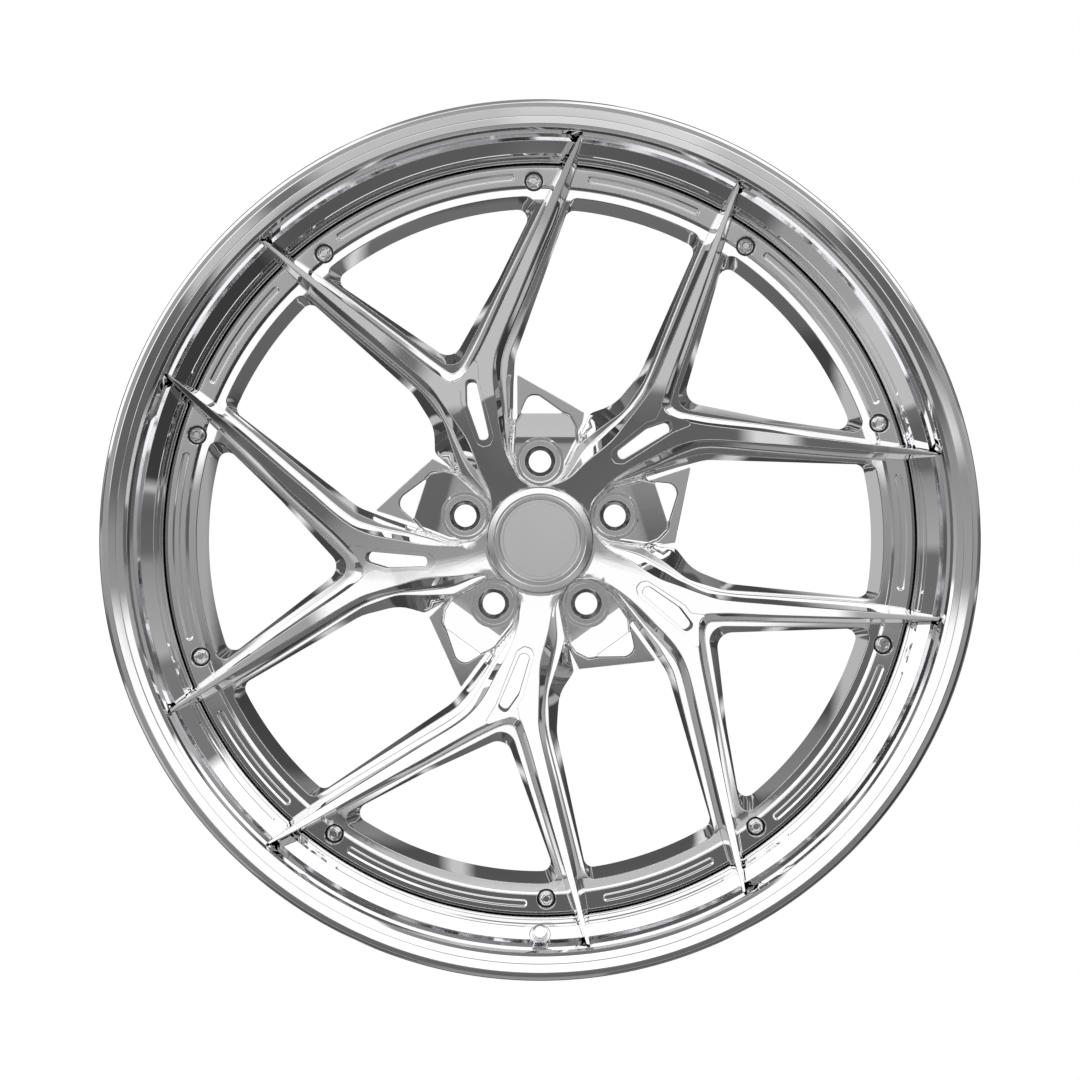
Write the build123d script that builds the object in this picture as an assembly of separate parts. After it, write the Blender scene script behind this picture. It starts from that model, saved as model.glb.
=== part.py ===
from build123d import *

import math
import os

# Three-piece forged wheel rim, 22 x 10.5J, ET33, 5 x 112, centre bore 66.6 mm.
# Working frame: the wheel axis is Z, heights grow toward the outboard face, and the
# origin is the centre of the lug circle on the hub mounting face. to_world() turns it
# so that the outboard face looks along -Y and up is +Z.

# Hub and lugs
LUG_PCD_RADIUS = 56.0
LUG_COUNT = 5
LUG_HOLE_RADIUS = 8.0
LUG_CONE_RADIUS = 11.0
LUG_COUNTERBORE_RADIUS = 14.6
LUG_SEAT_HEIGHT = 12.0
POCKET_FLOOR = 14.5
BORE_RADIUS = 33.3
CAP_BORE_RADIUS = 34.2
CAP_BORE_FLOOR = 34.0
HUB_FACE_HEIGHT = 50.0
PAD_INRADIUS = 94.5
PAD_THICKNESS = 18.0

# Dish of the spoke tops: height = DISH_BASE + DISH_RISE * (r / DISH_RADIUS) ** 2
DISH_BASE = 49.0
DISH_RISE = 50.0
DISH_RADIUS = 277.0
SHELF_EDGE = 59.0
SHELF_SLOPE = 0.14
BACK_EDGE = 35.0
BACK_SLOPE = 0.2

# Bolted ring of the disc
RING_OUTER = 257.0
RING_LAND = 63.0
RING_INNER_FRONT = 238.6
RING_INNER_BACK = 232.0
SPIGOT_RADIUS = 235.8
MOUNT_HEIGHT = 49.0
BOLT_RADIUS = 248.0
BOLT_ANGLES = (91.0, 127.0)
BOLT_SEAT = 56.0
BOLT_POCKET_RADIUS = 6.7
BOLT_HOLE_RADIUS = 3.3
GROOVE_RADIUS = 250.9
GROOVE_WIDTH = 5.2
GROOVE_DEPTH = 1.2
GROOVE_SPANS = ((94.6, 123.4), (136.6, 153.9))

# Rim halves
LIP_FLANGE = 6.0
BARREL_FLANGE = 7.0
FLANGE_BORE = 236.0
FLANGE_RADIUS = 296.5
BEAD_FACE_FRONT = 100.35
BEAD_FACE_BACK = -166.35
RIM_FRONT = 111.0
RIM_BACK = -177.0

# Valve, on the sloping band of the lip
VALVE_HOLE_RADIUS = 4.15
VALVE_SPOTFACE_RADIUS = 7.5
VALVE_AT = (0.0, -270.25, 76.85)
VALVE_AXIS = (0.0, 0.537, 0.844)

# Rib edges, each pair (edge at the top of the rib, foot of its slope), rim end first.
RIB_B_FORK = [
    ((-246, 263), (-246, 263)),
    ((-197, 210.5), (-197.7, 211.5)),
    ((-188, 204), (-188.8, 205.6)),
    ((-166, 187.2), (-166.7, 191.8)),
    ((-102.8, 138.9), (-101.3, 143.8)),
    ((-70.6, 114.1), (-68.7, 119.5)),
]
RIB_CROTCH = [((-60.5, 108.6), (-61.2, 115.5)), ((-52.6, 113), (-55.5, 118.5))]
RIB_A_FORK = [
    ((-43.2, 128), (-47.2, 132)),
    ((-22.8, 170.6), (-26.7, 174)),
    ((-1.2, 216.1), (-3.6, 220)),
    ((17.1, 254.7), (15.2, 257.9)),
    ((28.2, 276), (27.6, 278)),
    ((33, 287.5), (32.6, 289)),
    ((41, 359), (41, 359)),
]
RIB_A_WIDE = [
    ((43, 358), (43, 358)),
    ((34, 285.5), (34.9, 287.3)),
    ((29.7, 275.4), (30.6, 277.2)),
    ((20.9, 253.2), (24.4, 254.5)),
    ((8.1, 223), (13, 224.1)),
    ((-15.3, 167.5), (-10.8, 167.3)),
    ((-30.6, 129.6), (-26.2, 128.8)),
    ((-32.6, 114.2), (-27.2, 115.2)),
    ((-29.8, 90.1), (-24.9, 90)),
    ((-27.8, 76.3), (-21.9, 75.6)),
    ((-22.9, 59), (-19.5, 59.5)),
    ((-17.4, 48.6), (-15, 50.5)),
    ((-7, 38.9), (-6.5, 41.5)),
    ((7, 38.4), (7, 41.2)),
]
RIB_B_WIDE = [
    ((-244, 265), (-244, 265)),
    ((-197.7, 208.5), (-199.5, 209.2)),
    ((-188.9, 201.9), (-191, 203)),
    ((-173.1, 188.6), (-177.6, 188.5)),
    ((-153.1, 171.8), (-158.6, 170.1)),
    ((-107.2, 133.2), (-111.6, 130.3)),
    ((-75.7, 105.5), (-83.7, 106.7)),
    ((-69.2, 96.9), (-74.8, 97.4)),
    ((-58.9, 81.8), (-65, 82)),
    ((-50.6, 69.4), (-58.5, 67)),
    ((-41.7, 47.2), (-49.5, 48.5)),
    ((-34.7, 31.3), (-39.2, 31)),
]

# Window edges, each (edge at the shelf, edge at the back, corner radius), rim end first.
WINDOW_B_FORK = [((-143.3, 179), (-139.1, 177.9), 0)]
WINDOW_CROTCH = [((-59, 117), (-61.9, 126.1), 10.5)]
WINDOW_A_FORK = [
    ((-29, 174.9), (-29.5, 182.5), 90),
    ((-3.2, 230.9), (-7.3, 226.7), 0),
]
WINDOW_A_WIDE = [
    ((18.9, 229.1), (16.9, 224), 0),
    ((-21.6, 128.9), (-17.7, 129), 30),
    ((-23.6, 109), (-18.8, 108), 30),
    ((-17.3, 84.7), (-16.8, 84.7), 3),
]
WINDOW_B_WIDE = [
    ((-158, 165.2), (-156.9, 163.5), 0),
    ((-83, 103.3), (-89.5, 103.2), 30),
    ((-67.5, 83.5), (-74.9, 80), 30),
    ((-61.2, 63.5), (-74.3, 61.4), 6),
    ((-54.7, 45.6), (-57.1, 45.7), 3),
]
WINDOW_CORNER_RADIUS = 6.5

# Pockets of one spoke pair
LEDGE = [(-43.5, 127.5), (-42.5, 110.7), (-32.3, 71.5), (-34.5, 66), (-39, 64.6), (-43.5, 66.6),
         (-54.7, 95.5), (-54.7, 102.4), (-62.2, 109.2), (-53.5, 113.5)]
LEDGE_DEPTH = 3.5
SLOT = [(-51.6, 111.3), (-51.4, 95.8), (-42, 69.4), (-35.1, 70.4), (-44.5, 111.3)]
LUG_POCKET = [(-12.5, 91.8), (-21.7, 76.3), (-21.9, 60), (-15.5, 43), (0, 33.5), (15.5, 43),
              (26.8, 67.8), (26.1, 80), (21.5, 88.5), (14, 91.8)]
LUG_POCKET_RADII = (3, 5, 12, 14, 14, 12, 8, 5, 5, 3)
LUG_OPENING = [(-14.5, 89.7), (-8.5, 103.5), (-1, 103.3), (18.2, 89.7)]
LUG_OPENING_RADII = (1.5, 6.5, 6.5, 1.2)


def to_world(shape):
    """Turns the working frame so that the outboard face looks along -Y."""
    return Rotation(90, 0, 0) * shape


def save(name, shape):
    export_step(to_world(shape), "parts/" + name + ".step")


def lathe(points):
    """Solid turned about the wheel axis from (radius, height) points."""
    outline = Polyline([(r, 0, h) for r, h in points], close=True)
    return revolve(make_face(outline), Axis.Z)


def tube(outer, inner, low, high):
    return lathe([(inner, low), (outer, low), (outer, high), (inner, high)])


def rod(radius, low, high):
    return Pos(0, 0, low) * Cylinder(radius, high - low, align=(Align.CENTER, Align.CENTER, Align.MIN))


def turned(point, degrees):
    a = math.radians(degrees)
    x, y = point
    return (x * math.cos(a) - y * math.sin(a), x * math.sin(a) + y * math.cos(a))


def radius_of(point):
    return math.hypot(point[0], point[1])


def top_height(r):
    return DISH_BASE + DISH_RISE * (r / DISH_RADIUS) ** 2


def shelf_height(r):
    return SHELF_EDGE - SHELF_SLOPE * max(240 - r, 0)


def foot_height(r):
    """Height of the surface the rib slopes land on: shelf, ring land, then under the fin."""
    if r < 243:
        return shelf_height(r)
    if r < RING_OUTER:
        return RING_LAND
    return RING_LAND + (r - RING_OUTER)


def back_height(r):
    return max(BACK_EDGE - BACK_SLOPE * (RING_INNER_BACK - r), 12)


def ring_inner_radius(height):
    slope = (RING_INNER_FRONT - RING_INNER_BACK) / (SHELF_EDGE - BACK_EDGE)
    return RING_INNER_BACK + slope * (height - BACK_EDGE)


def carried(high, high_level, low, low_level, level):
    """Point where the line through two points at their own heights meets another height."""
    k = (high_level - level) / (high_level - low_level)
    return (high[0] + k * (low[0] - high[0]), high[1] + k * (low[1] - high[1]))


def corner_arc(before, at, after, radius):
    """Tangent points and middle point of the arc that rounds one corner of a polyline."""
    a = Vector(before[0] - at[0], before[1] - at[1]).normalized()
    b = Vector(after[0] - at[0], after[1] - at[1]).normalized()
    half = math.acos(max(-1, min(1, a.dot(b)))) / 2
    reach = radius / math.tan(half)
    bisector = (a + b).normalized()
    middle = radius / math.sin(half) - radius
    corner = Vector(*at)
    return corner + a * reach, corner + bisector * middle, corner + b * reach


def rounded_outline(points, radii):
    """Closed outline with every corner rounded by its own radius (0 keeps it sharp)."""
    count = len(points)
    marks = []
    for i, point in enumerate(points):
        if radii[i]:
            marks.append(corner_arc(points[i - 1], point, points[(i + 1) % count], radii[i]))
        else:
            marks.append((Vector(*point), None, Vector(*point)))
    edges = []
    for i, (start, middle, end) in enumerate(marks):
        if middle is not None:
            edges.append(ThreePointArc(start, middle, end))
        edges.append(Line(end, marks[(i + 1) % count][0]))
    return make_face(edges)


def ring_corner(outer, inner, ring_radius, radius, side):
    """Arc between a spoke edge and the ring: tangent point on the edge, middle, point on the ring."""
    along = (Vector(*inner) - Vector(*outer)).normalized()
    inward = Vector(-along.Y, along.X) * side
    base = Vector(*outer) + inward * radius
    reach = ring_radius - radius
    b = base.dot(along)
    centre = base + along * (-b - math.sqrt(b * b - base.dot(base) + reach * reach))
    on_edge = centre - inward * radius
    on_ring = centre.normalized() * ring_radius
    toward = ((on_edge - centre).normalized() + (on_ring - centre).normalized()).normalized()
    return on_edge, centre + toward * radius, on_ring


def window_outline(points, radii, level):
    """Outline of a window at one height, closed by an arc of the ring's inner wall."""
    ring = ring_inner_radius(level)
    first = ring_corner(points[0], points[1], ring, WINDOW_CORNER_RADIUS, 1)
    last = ring_corner(points[-1], points[-2], ring, WINDOW_CORNER_RADIUS, -1)
    edges = [ThreePointArc(first[2], first[1], first[0])]
    at = first[0]
    for i in range(1, len(points) - 1):
        start, middle, end = corner_arc(points[i - 1], points[i], points[i + 1], radii[i])
        edges += [Line(at, start), ThreePointArc(start, middle, end)]
        at = end
    edges += [Line(at, last[0]), ThreePointArc(last[0], last[1], last[2])]
    top = (first[2] + last[2]).normalized() * ring
    edges.append(ThreePointArc(last[2], top, first[2]))
    return make_face(edges)


def at_level(face, level):
    return Pos(0, 0, level) * face


def rib_cavity(pairs, low, high=108.0):
    """Everything between two ribs above the shelf, with the ribs' own slopes as its walls."""
    faces = []
    for level in (low, high):
        points = [
            carried(top, top_height(radius_of(top)), foot, foot_height(radius_of(foot)), level)
            for top, foot in pairs
        ]
        faces.append(at_level(make_face(Polyline(points, close=True)), level))
    return loft(faces, ruled=True)


def window_cutter(edges, low=-20.0, high=75.0):
    """Window through the disc, its walls leaning from the shelf edge to the back edge."""
    radii = [radius for _, _, radius in edges]
    faces = []
    for level in (low, high):
        points = [
            carried(front, shelf_height(radius_of(front)), back, back_height(radius_of(back)), level)
            for front, back, _ in edges
        ]
        faces.append(at_level(window_outline(points, radii, level), level))
    return loft(faces, ruled=True)


def floor_profile(lift=0.0):
    """Shelf, lower land, bevel and ring land, as (radius, height) points from the axis out."""
    return [
        (0, shelf_height(0) + lift),
        (240, SHELF_EDGE + lift),
        (243, SHELF_EDGE + lift),
        (244.7, RING_LAND + lift),
        (RING_OUTER + lift, RING_LAND + lift),
    ]


def above_floor():
    return lathe(floor_profile() + [(RING_OUTER, 50), (400, 50), (400, 130), (0, 130)])


def below_floor():
    return lathe(floor_profile(0.4) + [(RING_OUTER, -30), (0, -30)])


def disc_blank():
    """Turned forging: hub, dished spoke tops out to the fin tips, ring and spigot."""
    dish = [(r, top_height(r)) for r in (275.6, 250, 225, 200, 175, 150, 125, 100, 75, 50)]
    front = [(257, 63), (259, 64.2), (263.2, 75.2), (271.2, 80.6), (272.6, 84.5), (274.2, 95)]
    hub = [(38, top_height(38)), (38, HUB_FACE_HEIGHT), (BORE_RADIUS, HUB_FACE_HEIGHT)]
    back = [
        (BORE_RADIUS, 0),
        (80, 0),
        (92, 12),
        (112, 17.2),
        (RING_INNER_BACK, BACK_EDGE),
        (SPIGOT_RADIUS, BACK_EDGE),
        (SPIGOT_RADIUS, MOUNT_HEIGHT),
        (RING_OUTER, MOUNT_HEIGHT),
    ]
    return lathe(back + front + dish + hub)


def mounting_pad():
    """Five-sided plate behind the windows that carries the mounting face."""
    corner = PAD_INRADIUS / math.cos(math.radians(36))
    points = [turned((corner, 0), 96.4 + 72 * k) for k in range(5)]
    plate = extrude(rounded_outline(points, [6] * 5), PAD_THICKNESS)
    return plate - rod(BORE_RADIUS, -1, PAD_THICKNESS + 1)


def lug_cutters():
    """Pocket, breakthrough, counterbore, cone seat and hole of the lug at 90 degrees."""
    pocket = at_level(rounded_outline(LUG_POCKET, LUG_POCKET_RADII), POCKET_FLOOR)
    opening = at_level(rounded_outline(LUG_OPENING, LUG_OPENING_RADII), -5)
    cone_depth = (LUG_CONE_RADIUS - LUG_HOLE_RADIUS) / math.tan(math.radians(30))
    seat = lathe([
        (0, -5),
        (LUG_HOLE_RADIUS, -5),
        (LUG_HOLE_RADIUS, LUG_SEAT_HEIGHT - cone_depth),
        (LUG_CONE_RADIUS, LUG_SEAT_HEIGHT),
        (LUG_COUNTERBORE_RADIUS, LUG_SEAT_HEIGHT),
        (LUG_COUNTERBORE_RADIUS + 2.5, POCKET_FLOOR),
        (LUG_COUNTERBORE_RADIUS + 2.5, POCKET_FLOOR + 5),
        (0, POCKET_FLOOR + 5),
    ])
    return [extrude(pocket, 80), extrude(opening, 60), Pos(0, LUG_PCD_RADIUS, 0) * seat]


def slot_cutters():
    """Shallow ledge between the two ribs and the slot through its floor."""
    radii = (2, 4, 6, 4, 4, 4, 5, 5, 3, 3)
    ledge = extrude(at_level(rounded_outline(LEDGE, radii), 30), 60)
    dish = [(r, top_height(r) - LEDGE_DEPTH) for r in (40, 60, 80, 100, 120, 140)]
    above = lathe(dish + [(140, 95), (40, 95)])
    slot = extrude(at_level(rounded_outline(SLOT, [3.2, 20, 3.4, 3.2, 3.4]), -5), 90)
    return [ledge & above, slot]


def arc_groove(first, last):
    """Shallow round-ended groove that follows the ring."""
    half = GROOVE_WIDTH / 2
    inner, outer = GROOVE_RADIUS - half, GROOVE_RADIUS + half
    middle = (first + last) / 2
    start = turned((GROOVE_RADIUS, 0), first)
    end = turned((GROOVE_RADIUS, 0), last)
    edges = [
        ThreePointArc(turned((inner, 0), first), turned((inner, 0), middle), turned((inner, 0), last)),
        ThreePointArc(turned((inner, 0), last), (Vector(*end) + Vector(*turned((0, half), last))),
                      turned((outer, 0), last)),
        ThreePointArc(turned((outer, 0), last), turned((outer, 0), middle), turned((outer, 0), first)),
        ThreePointArc(turned((outer, 0), first), (Vector(*start) - Vector(*turned((0, half), first))),
                      turned((inner, 0), first)),
    ]
    return extrude(at_level(make_face(edges), RING_LAND - GROOVE_DEPTH), 10)


def bolt_places():
    """Centres of the ten ring bolts, as locations with Z along the wheel axis."""
    places = []
    for k in range(LUG_COUNT):
        for angle in BOLT_ANGLES:
            x, y = turned((BOLT_RADIUS, 0), angle + 72 * k)
            places.append(Pos(x, y, 0) * Rot(0, 0, angle + 72 * k))
    return places


def ring_cutters():
    pocket = rod(BOLT_POCKET_RADIUS, BOLT_SEAT, 70)
    hole = rod(BOLT_HOLE_RADIUS, MOUNT_HEIGHT - 3, BOLT_SEAT + 1)
    drill = pocket + hole
    cutters = [place * drill for place in bolt_places()]
    for k in range(LUG_COUNT):
        cutters += [Rot(0, 0, 72 * k) * arc_groove(*span) for span in GROOVE_SPANS]
    return cutters


def center_disc():
    fork_ribs = RIB_B_FORK + RIB_CROTCH + RIB_A_FORK
    wide_ribs = RIB_A_WIDE + [
        (turned(top, -72), turned(foot, -72)) for top, foot in reversed(RIB_B_WIDE)
    ]
    fork_window = WINDOW_B_FORK + WINDOW_CROTCH + WINDOW_A_FORK
    wide_window = WINDOW_A_WIDE + [
        (turned(front, -72), turned(back, -72), radius)
        for front, back, radius in reversed(WINDOW_B_WIDE)
    ]
    above, below = above_floor(), below_floor()
    through = [
        rib_cavity(fork_ribs, 36) & above,
        rib_cavity(wide_ribs, 26) & above,
        window_cutter(list(reversed(fork_window))) & below,
        window_cutter(wide_window) & below,
    ]
    modules = [Rot(0, 0, 72 * k) for k in range(LUG_COUNT)]
    body = disc_blank() - [turn * cutter for turn in modules for cutter in through]
    body += mounting_pad()
    pockets = lug_cutters() + slot_cutters()
    body -= [turn * cutter for turn in modules for cutter in pockets]
    body -= ring_cutters()
    return body - rod(CAP_BORE_RADIUS, CAP_BORE_FLOOR, 60)


def valve_place():
    return Plane(origin=VALVE_AT, x_dir=(1, 0, 0), z_dir=VALVE_AXIS).location


def flange_holes(low, high):
    hole = rod(BOLT_HOLE_RADIUS, low, high)
    return [place * hole for place in bolt_places()]


def outer_lip():
    """Outboard rim half: mounting flange, stepped wall, valve band, bead seat and rolled flange."""
    front = [
        (FLANGE_BORE, MOUNT_HEIGHT), (259.6, MOUNT_HEIGHT), (260.6, 61), (261.6, 66), (262.6, 70),
        (264.4, 73.6), (273.2, 79.2), (274.2, 86), (275.2, 95), (276.8, 102), (277.8, 105.5),
        (280.3, 108), (281.8, 110), (284.2, 110.9), (287, RIM_FRONT), (289.3, 109.6), (291.2, 108.3),
        (293.2, 108.2), (295, 107.7), (296.2, 106.3), (FLANGE_RADIUS, 104.8),
    ]
    tyre_side = [
        (FLANGE_RADIUS, 103.2), (295.4, 101.6), (293, BEAD_FACE_FRONT), (285.7, BEAD_FACE_FRONT),
        (282.2, 99.2), (279.8, 96.6), (279.1, 93.5), (277.7, 79), (276.6, 74.9), (267.3, 68.8),
        (265.4, 62), (265, MOUNT_HEIGHT - LIP_FLANGE), (FLANGE_BORE, MOUNT_HEIGHT - LIP_FLANGE),
    ]
    body = lathe(front + tyre_side)
    body -= flange_holes(MOUNT_HEIGHT - LIP_FLANGE - 1, MOUNT_HEIGHT + 1)
    drill = rod(VALVE_HOLE_RADIUS, -12, 5) + rod(VALVE_SPOTFACE_RADIUS, 0, 9)
    back_face = rod(6.6, -20, -5.1)
    return body - valve_place() * drill - valve_place() * back_face


def inner_barrel():
    """Inboard rim half: mounting flange, drop centre, rear bead seat and flange."""
    high = MOUNT_HEIGHT - LIP_FLANGE
    low = high - BARREL_FLANGE
    body = lathe([
        (FLANGE_BORE, high), (262, high), (262, -108), (264, -113), (274, -128), (277, -133.5),
        (278.7, -138), (278.7, -141), (277.6, -145), (279.1, -159.5), (279.8, -162.6),
        (282.2, -165.2), (285.7, BEAD_FACE_BACK), (293, BEAD_FACE_BACK), (295.4, -167.6),
        (FLANGE_RADIUS, -169.2), (FLANGE_RADIUS, -171.5), (295, -174.5), (291, -176.6),
        (287, RIM_BACK), (281, -175.2), (275.5, -171), (273.4, -165), (272, -146),
        (271, -136), (259.4, -117), (257.4, -109), (257.4, 33), (255.4, low), (FLANGE_BORE, low),
    ])
    return body - flange_holes(low - 1, high + 1)


def rim_seal():
    high = MOUNT_HEIGHT - LIP_FLANGE
    return lathe([(262, high), (264.8, high), (264.2, high - 1.6), (262, high - 3)])


def assembly_bolt():
    """Flanged hexagon bolt with a dimple in its head; the shank reaches past the nut."""
    head = extrude(at_level(RegularPolygon(4.0, 6, major_radius=False), BOLT_SEAT + 1.4), 4.4)
    bevel = lathe([(0, BOLT_SEAT), (5.2, BOLT_SEAT), (5.2, BOLT_SEAT + 5), (4.1, BOLT_SEAT + 5.8),
                   (0, BOLT_SEAT + 5.8)])
    flange = lathe([(0, BOLT_SEAT), (5.2, BOLT_SEAT), (5.2, BOLT_SEAT + 1), (4.6, BOLT_SEAT + 1.4),
                    (0, BOLT_SEAT + 1.4)])
    dimple = lathe([(0, BOLT_SEAT + 5), (2.3, BOLT_SEAT + 5), (2.8, BOLT_SEAT + 6), (0, BOLT_SEAT + 6)])
    shank = lathe([(0, 26.2), (2.3, 26.2), (2.95, 26.9), (2.95, BOLT_SEAT), (0, BOLT_SEAT)])
    return (head & bevel) + flange + shank - dimple


def at_every_bolt(piece):
    """One group holding a copy of a fastener at every bolt place."""
    return Compound([place * piece for place in bolt_places()])


def barrel_flange_back():
    return MOUNT_HEIGHT - LIP_FLANGE - BARREL_FLANGE


def assembly_washer():
    high = barrel_flange_back()
    return tube(5.6, 3.2, high - 1.2, high)


def assembly_nut():
    high = barrel_flange_back() - 1.2
    hexagon = extrude(at_level(RegularPolygon(5.0, 6, major_radius=False), high - 6), 6)
    bevel = lathe([(0, high - 6), (4.9, high - 6), (5.8, high - 5.2), (5.8, high), (0, high)])
    return (hexagon & bevel) - rod(3.03, high - 7, high + 1)


def center_cap_body():
    """Cap shell: bevelled front ring, recess for the face disc, skirt with a seal groove."""
    return lathe([
        (0, 49.4), (31.4, 49.4), (31.4, 37), (33.2, 37), (34.12, 38.2), (34.12, 41), (32.4, 41),
        (32.4, 43.6), (34.12, 43.6), (34.12, 50), (37.1, 50), (37.1, 51.6), (36.6, 52.5),
        (35, 53.7), (34.6, 53.7), (34.3, 53.2), (32.4, 53.2), (32.1, 53.9), (31.2, 54.1),
        (28.6, 53.4), (28.1, 52.9), (28.1, 51.4), (0, 51.4),
    ])


def center_cap_face():
    return lathe([(0, 51.4), (28.05, 51.4), (28.05, 52.6), (27.7, 52.9), (0, 52.9)])


def center_cap_o_ring():
    return lathe([(32.4, 41.3), (33.7, 41.3), (34.18, 41.8), (34.18, 42.8), (33.7, 43.3), (32.4, 43.3)])


def valve_stem():
    """Clamp-in stem: front collar in the spotface, short nipple, threaded tail in the rim."""
    return lathe([
        (1.5, -15), (3.6, -15), (4.05, -14.5), (4.05, 0), (7.2, 0), (7.2, 0.8), (6.8, 1.2),
        (3.85, 1.2), (3.85, 5.2), (3.5, 5.6), (2.6, 5.6), (2.6, -8), (2.3, -8), (2.3, -12),
        (1.5, -12),
    ])


def valve_nut():
    hexagon = extrude(at_level(RegularPolygon(5.5, 6, major_radius=False), -11.6), 3.5)
    return hexagon - rod(4.12, -13, -7)


def valve_core_body():
    return lathe([
        (0.8, -8), (2.3, -8), (2.3, -4.6), (1.9, -4.6), (1.9, -3.4), (2.3, -3.4), (2.5, -2.8),
        (2.5, 3.4), (2.1, 4), (0.8, 4), (0.8, 2.6), (1.6, 2.6), (1.6, -7), (0.8, -7),
    ])


def valve_core_pin():
    """Pin with a spring collar above and a plunger below the core body."""
    return lathe([
        (0, -10.4), (1.9, -10.4), (1.9, -8.5), (0.75, -8.5), (0.75, 1.2), (1.3, 1.2),
        (1.3, 2.2), (0.75, 2.2), (0.75, 5), (0.55, 5.2), (0, 5.2),
    ])


def valve_core_spring():
    coil = Helix(pitch=1.3, height=7.5, radius=1.18, center=(0, 0, -6.65))
    section = Plane(origin=coil @ 0, z_dir=coil % 0) * Circle(0.2)
    return sweep(section, path=coil)


def valve_cap():
    """Fluted cap with a plain bore over the nipple."""
    shell = lathe([
        (3.93, 1.7), (4.9, 1.7), (5.2, 2), (5.2, 6.3), (4.6, 6.9), (0, 6.9), (0, 5.9), (3.93, 5.9),
    ])
    flute = Pos(5.35, 0, 0) * rod(0.32, 2.4, 6)
    return shell - [Rot(0, 0, 15 * k) * flute for k in range(24)]


def main():
    os.makedirs("parts", exist_ok=True)
    save("center_disc", center_disc())
    save("outer_lip", outer_lip())
    save("inner_barrel", inner_barrel())
    save("rim_seal", rim_seal())
    save("assembly_bolts", at_every_bolt(assembly_bolt()))
    save("assembly_washers", at_every_bolt(assembly_washer()))
    save("assembly_nuts", at_every_bolt(assembly_nut()))
    save("center_cap_body", center_cap_body())
    save("center_cap_face", center_cap_face())
    save("center_cap_o_ring", center_cap_o_ring())
    place = valve_place()
    save("valve_stem", place * valve_stem())
    save("valve_grommet", place * tube(5.6, 4.1, -7.1, -5.1))
    save("valve_washer", place * tube(5.8, 4.15, -8.1, -7.1))
    save("valve_nut", place * valve_nut())
    save("valve_core_body", place * valve_core_body())
    save("valve_core_body_seal", place * tube(2.55, 1.9, -4.6, -3.4))
    save("valve_core_pin", place * valve_core_pin())
    save("valve_core_pin_seal", place * tube(1.9, 0.75, -8.5, -8))
    save("valve_core_spring", place * valve_core_spring())
    save("valve_cap", place * valve_cap())
    save("valve_cap_seal", place * tube(3.9, 2.7, 5.6, 5.9))


main()
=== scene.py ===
import math

import bpy
import numpy as np
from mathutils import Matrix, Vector
from mathutils.geometry import delaunay_2d_cdt


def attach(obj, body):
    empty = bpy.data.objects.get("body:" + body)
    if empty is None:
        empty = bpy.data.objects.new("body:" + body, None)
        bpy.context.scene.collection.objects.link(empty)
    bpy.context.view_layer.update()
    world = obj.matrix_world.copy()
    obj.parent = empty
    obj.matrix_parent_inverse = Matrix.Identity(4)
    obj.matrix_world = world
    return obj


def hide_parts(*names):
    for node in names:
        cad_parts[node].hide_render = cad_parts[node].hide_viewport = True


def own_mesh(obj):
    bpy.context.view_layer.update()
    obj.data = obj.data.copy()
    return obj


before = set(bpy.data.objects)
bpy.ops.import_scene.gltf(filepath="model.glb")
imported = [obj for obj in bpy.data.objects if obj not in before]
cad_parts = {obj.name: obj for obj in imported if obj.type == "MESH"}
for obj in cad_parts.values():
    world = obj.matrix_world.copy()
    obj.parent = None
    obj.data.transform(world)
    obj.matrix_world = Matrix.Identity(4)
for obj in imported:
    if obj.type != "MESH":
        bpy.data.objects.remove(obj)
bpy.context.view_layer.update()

# Lengths are millimetres until a mesh is made. (x, y) is the wheel seen from outboard with y up,
# and h is the height above the hub mounting face toward the viewer, so a point lands in the row
# frame at (x, -h, y) / 1000.

# Spoke edges of the pair above the lug at 90 degrees: (top x, top y, foot x, foot y), rim end first.
RIB_B_FORK = [
    (-246, 263, -246, 263), (-197, 210.5, -197.7, 211.5), (-188, 204, -188.8, 205.6),
    (-166, 187.2, -166.7, 191.8), (-102.8, 138.9, -101.3, 143.8), (-70.6, 114.1, -68.7, 119.5),
]
RIB_CROTCH = [(-60.5, 108.6, -61.2, 115.5), (-52.6, 113, -55.5, 118.5)]
RIB_A_FORK = [
    (-43.2, 128, -47.2, 132), (-22.8, 170.6, -26.7, 174), (-1.2, 216.1, -3.6, 220),
    (17.1, 254.7, 15.2, 257.9), (28.2, 276, 27.6, 278), (33, 287.5, 32.6, 289), (41, 359, 41, 359),
]
RIB_A_WIDE = [
    (43, 358, 43, 358), (34, 285.5, 34.9, 287.3), (29.7, 275.4, 30.6, 277.2),
    (20.9, 253.2, 24.4, 254.5), (8.1, 223, 13, 224.1), (-15.3, 167.5, -10.8, 167.3),
    (-30.6, 129.6, -26.2, 128.8), (-32.6, 114.2, -27.2, 115.2), (-29.8, 90.1, -24.9, 90),
    (-27.8, 76.3, -24.2, 76.2), (-22.9, 59, -22.4, 59.2), (-17.4, 48.6, -16.9, 48.9),
    (-7, 38.9, -6.7, 39.4), (7, 38.4, 7, 39),
]
RIB_B_WIDE = [
    (-244, 265, -244, 265), (-197.7, 208.5, -199.5, 209.2), (-188.9, 201.9, -191, 203),
    (-173.1, 188.6, -177.6, 188.5), (-153.1, 171.8, -158.6, 170.1), (-107.2, 133.2, -111.6, 130.3),
    (-75.7, 105.5, -83.7, 106.7), (-69.2, 96.9, -74.8, 97.4), (-58.9, 81.8, -65, 82),
    (-50.6, 69.4, -58.5, 67), (-41.7, 47.2, -49.5, 48.5), (-34.7, 31.3, -35.8, 30.8),
]
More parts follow.
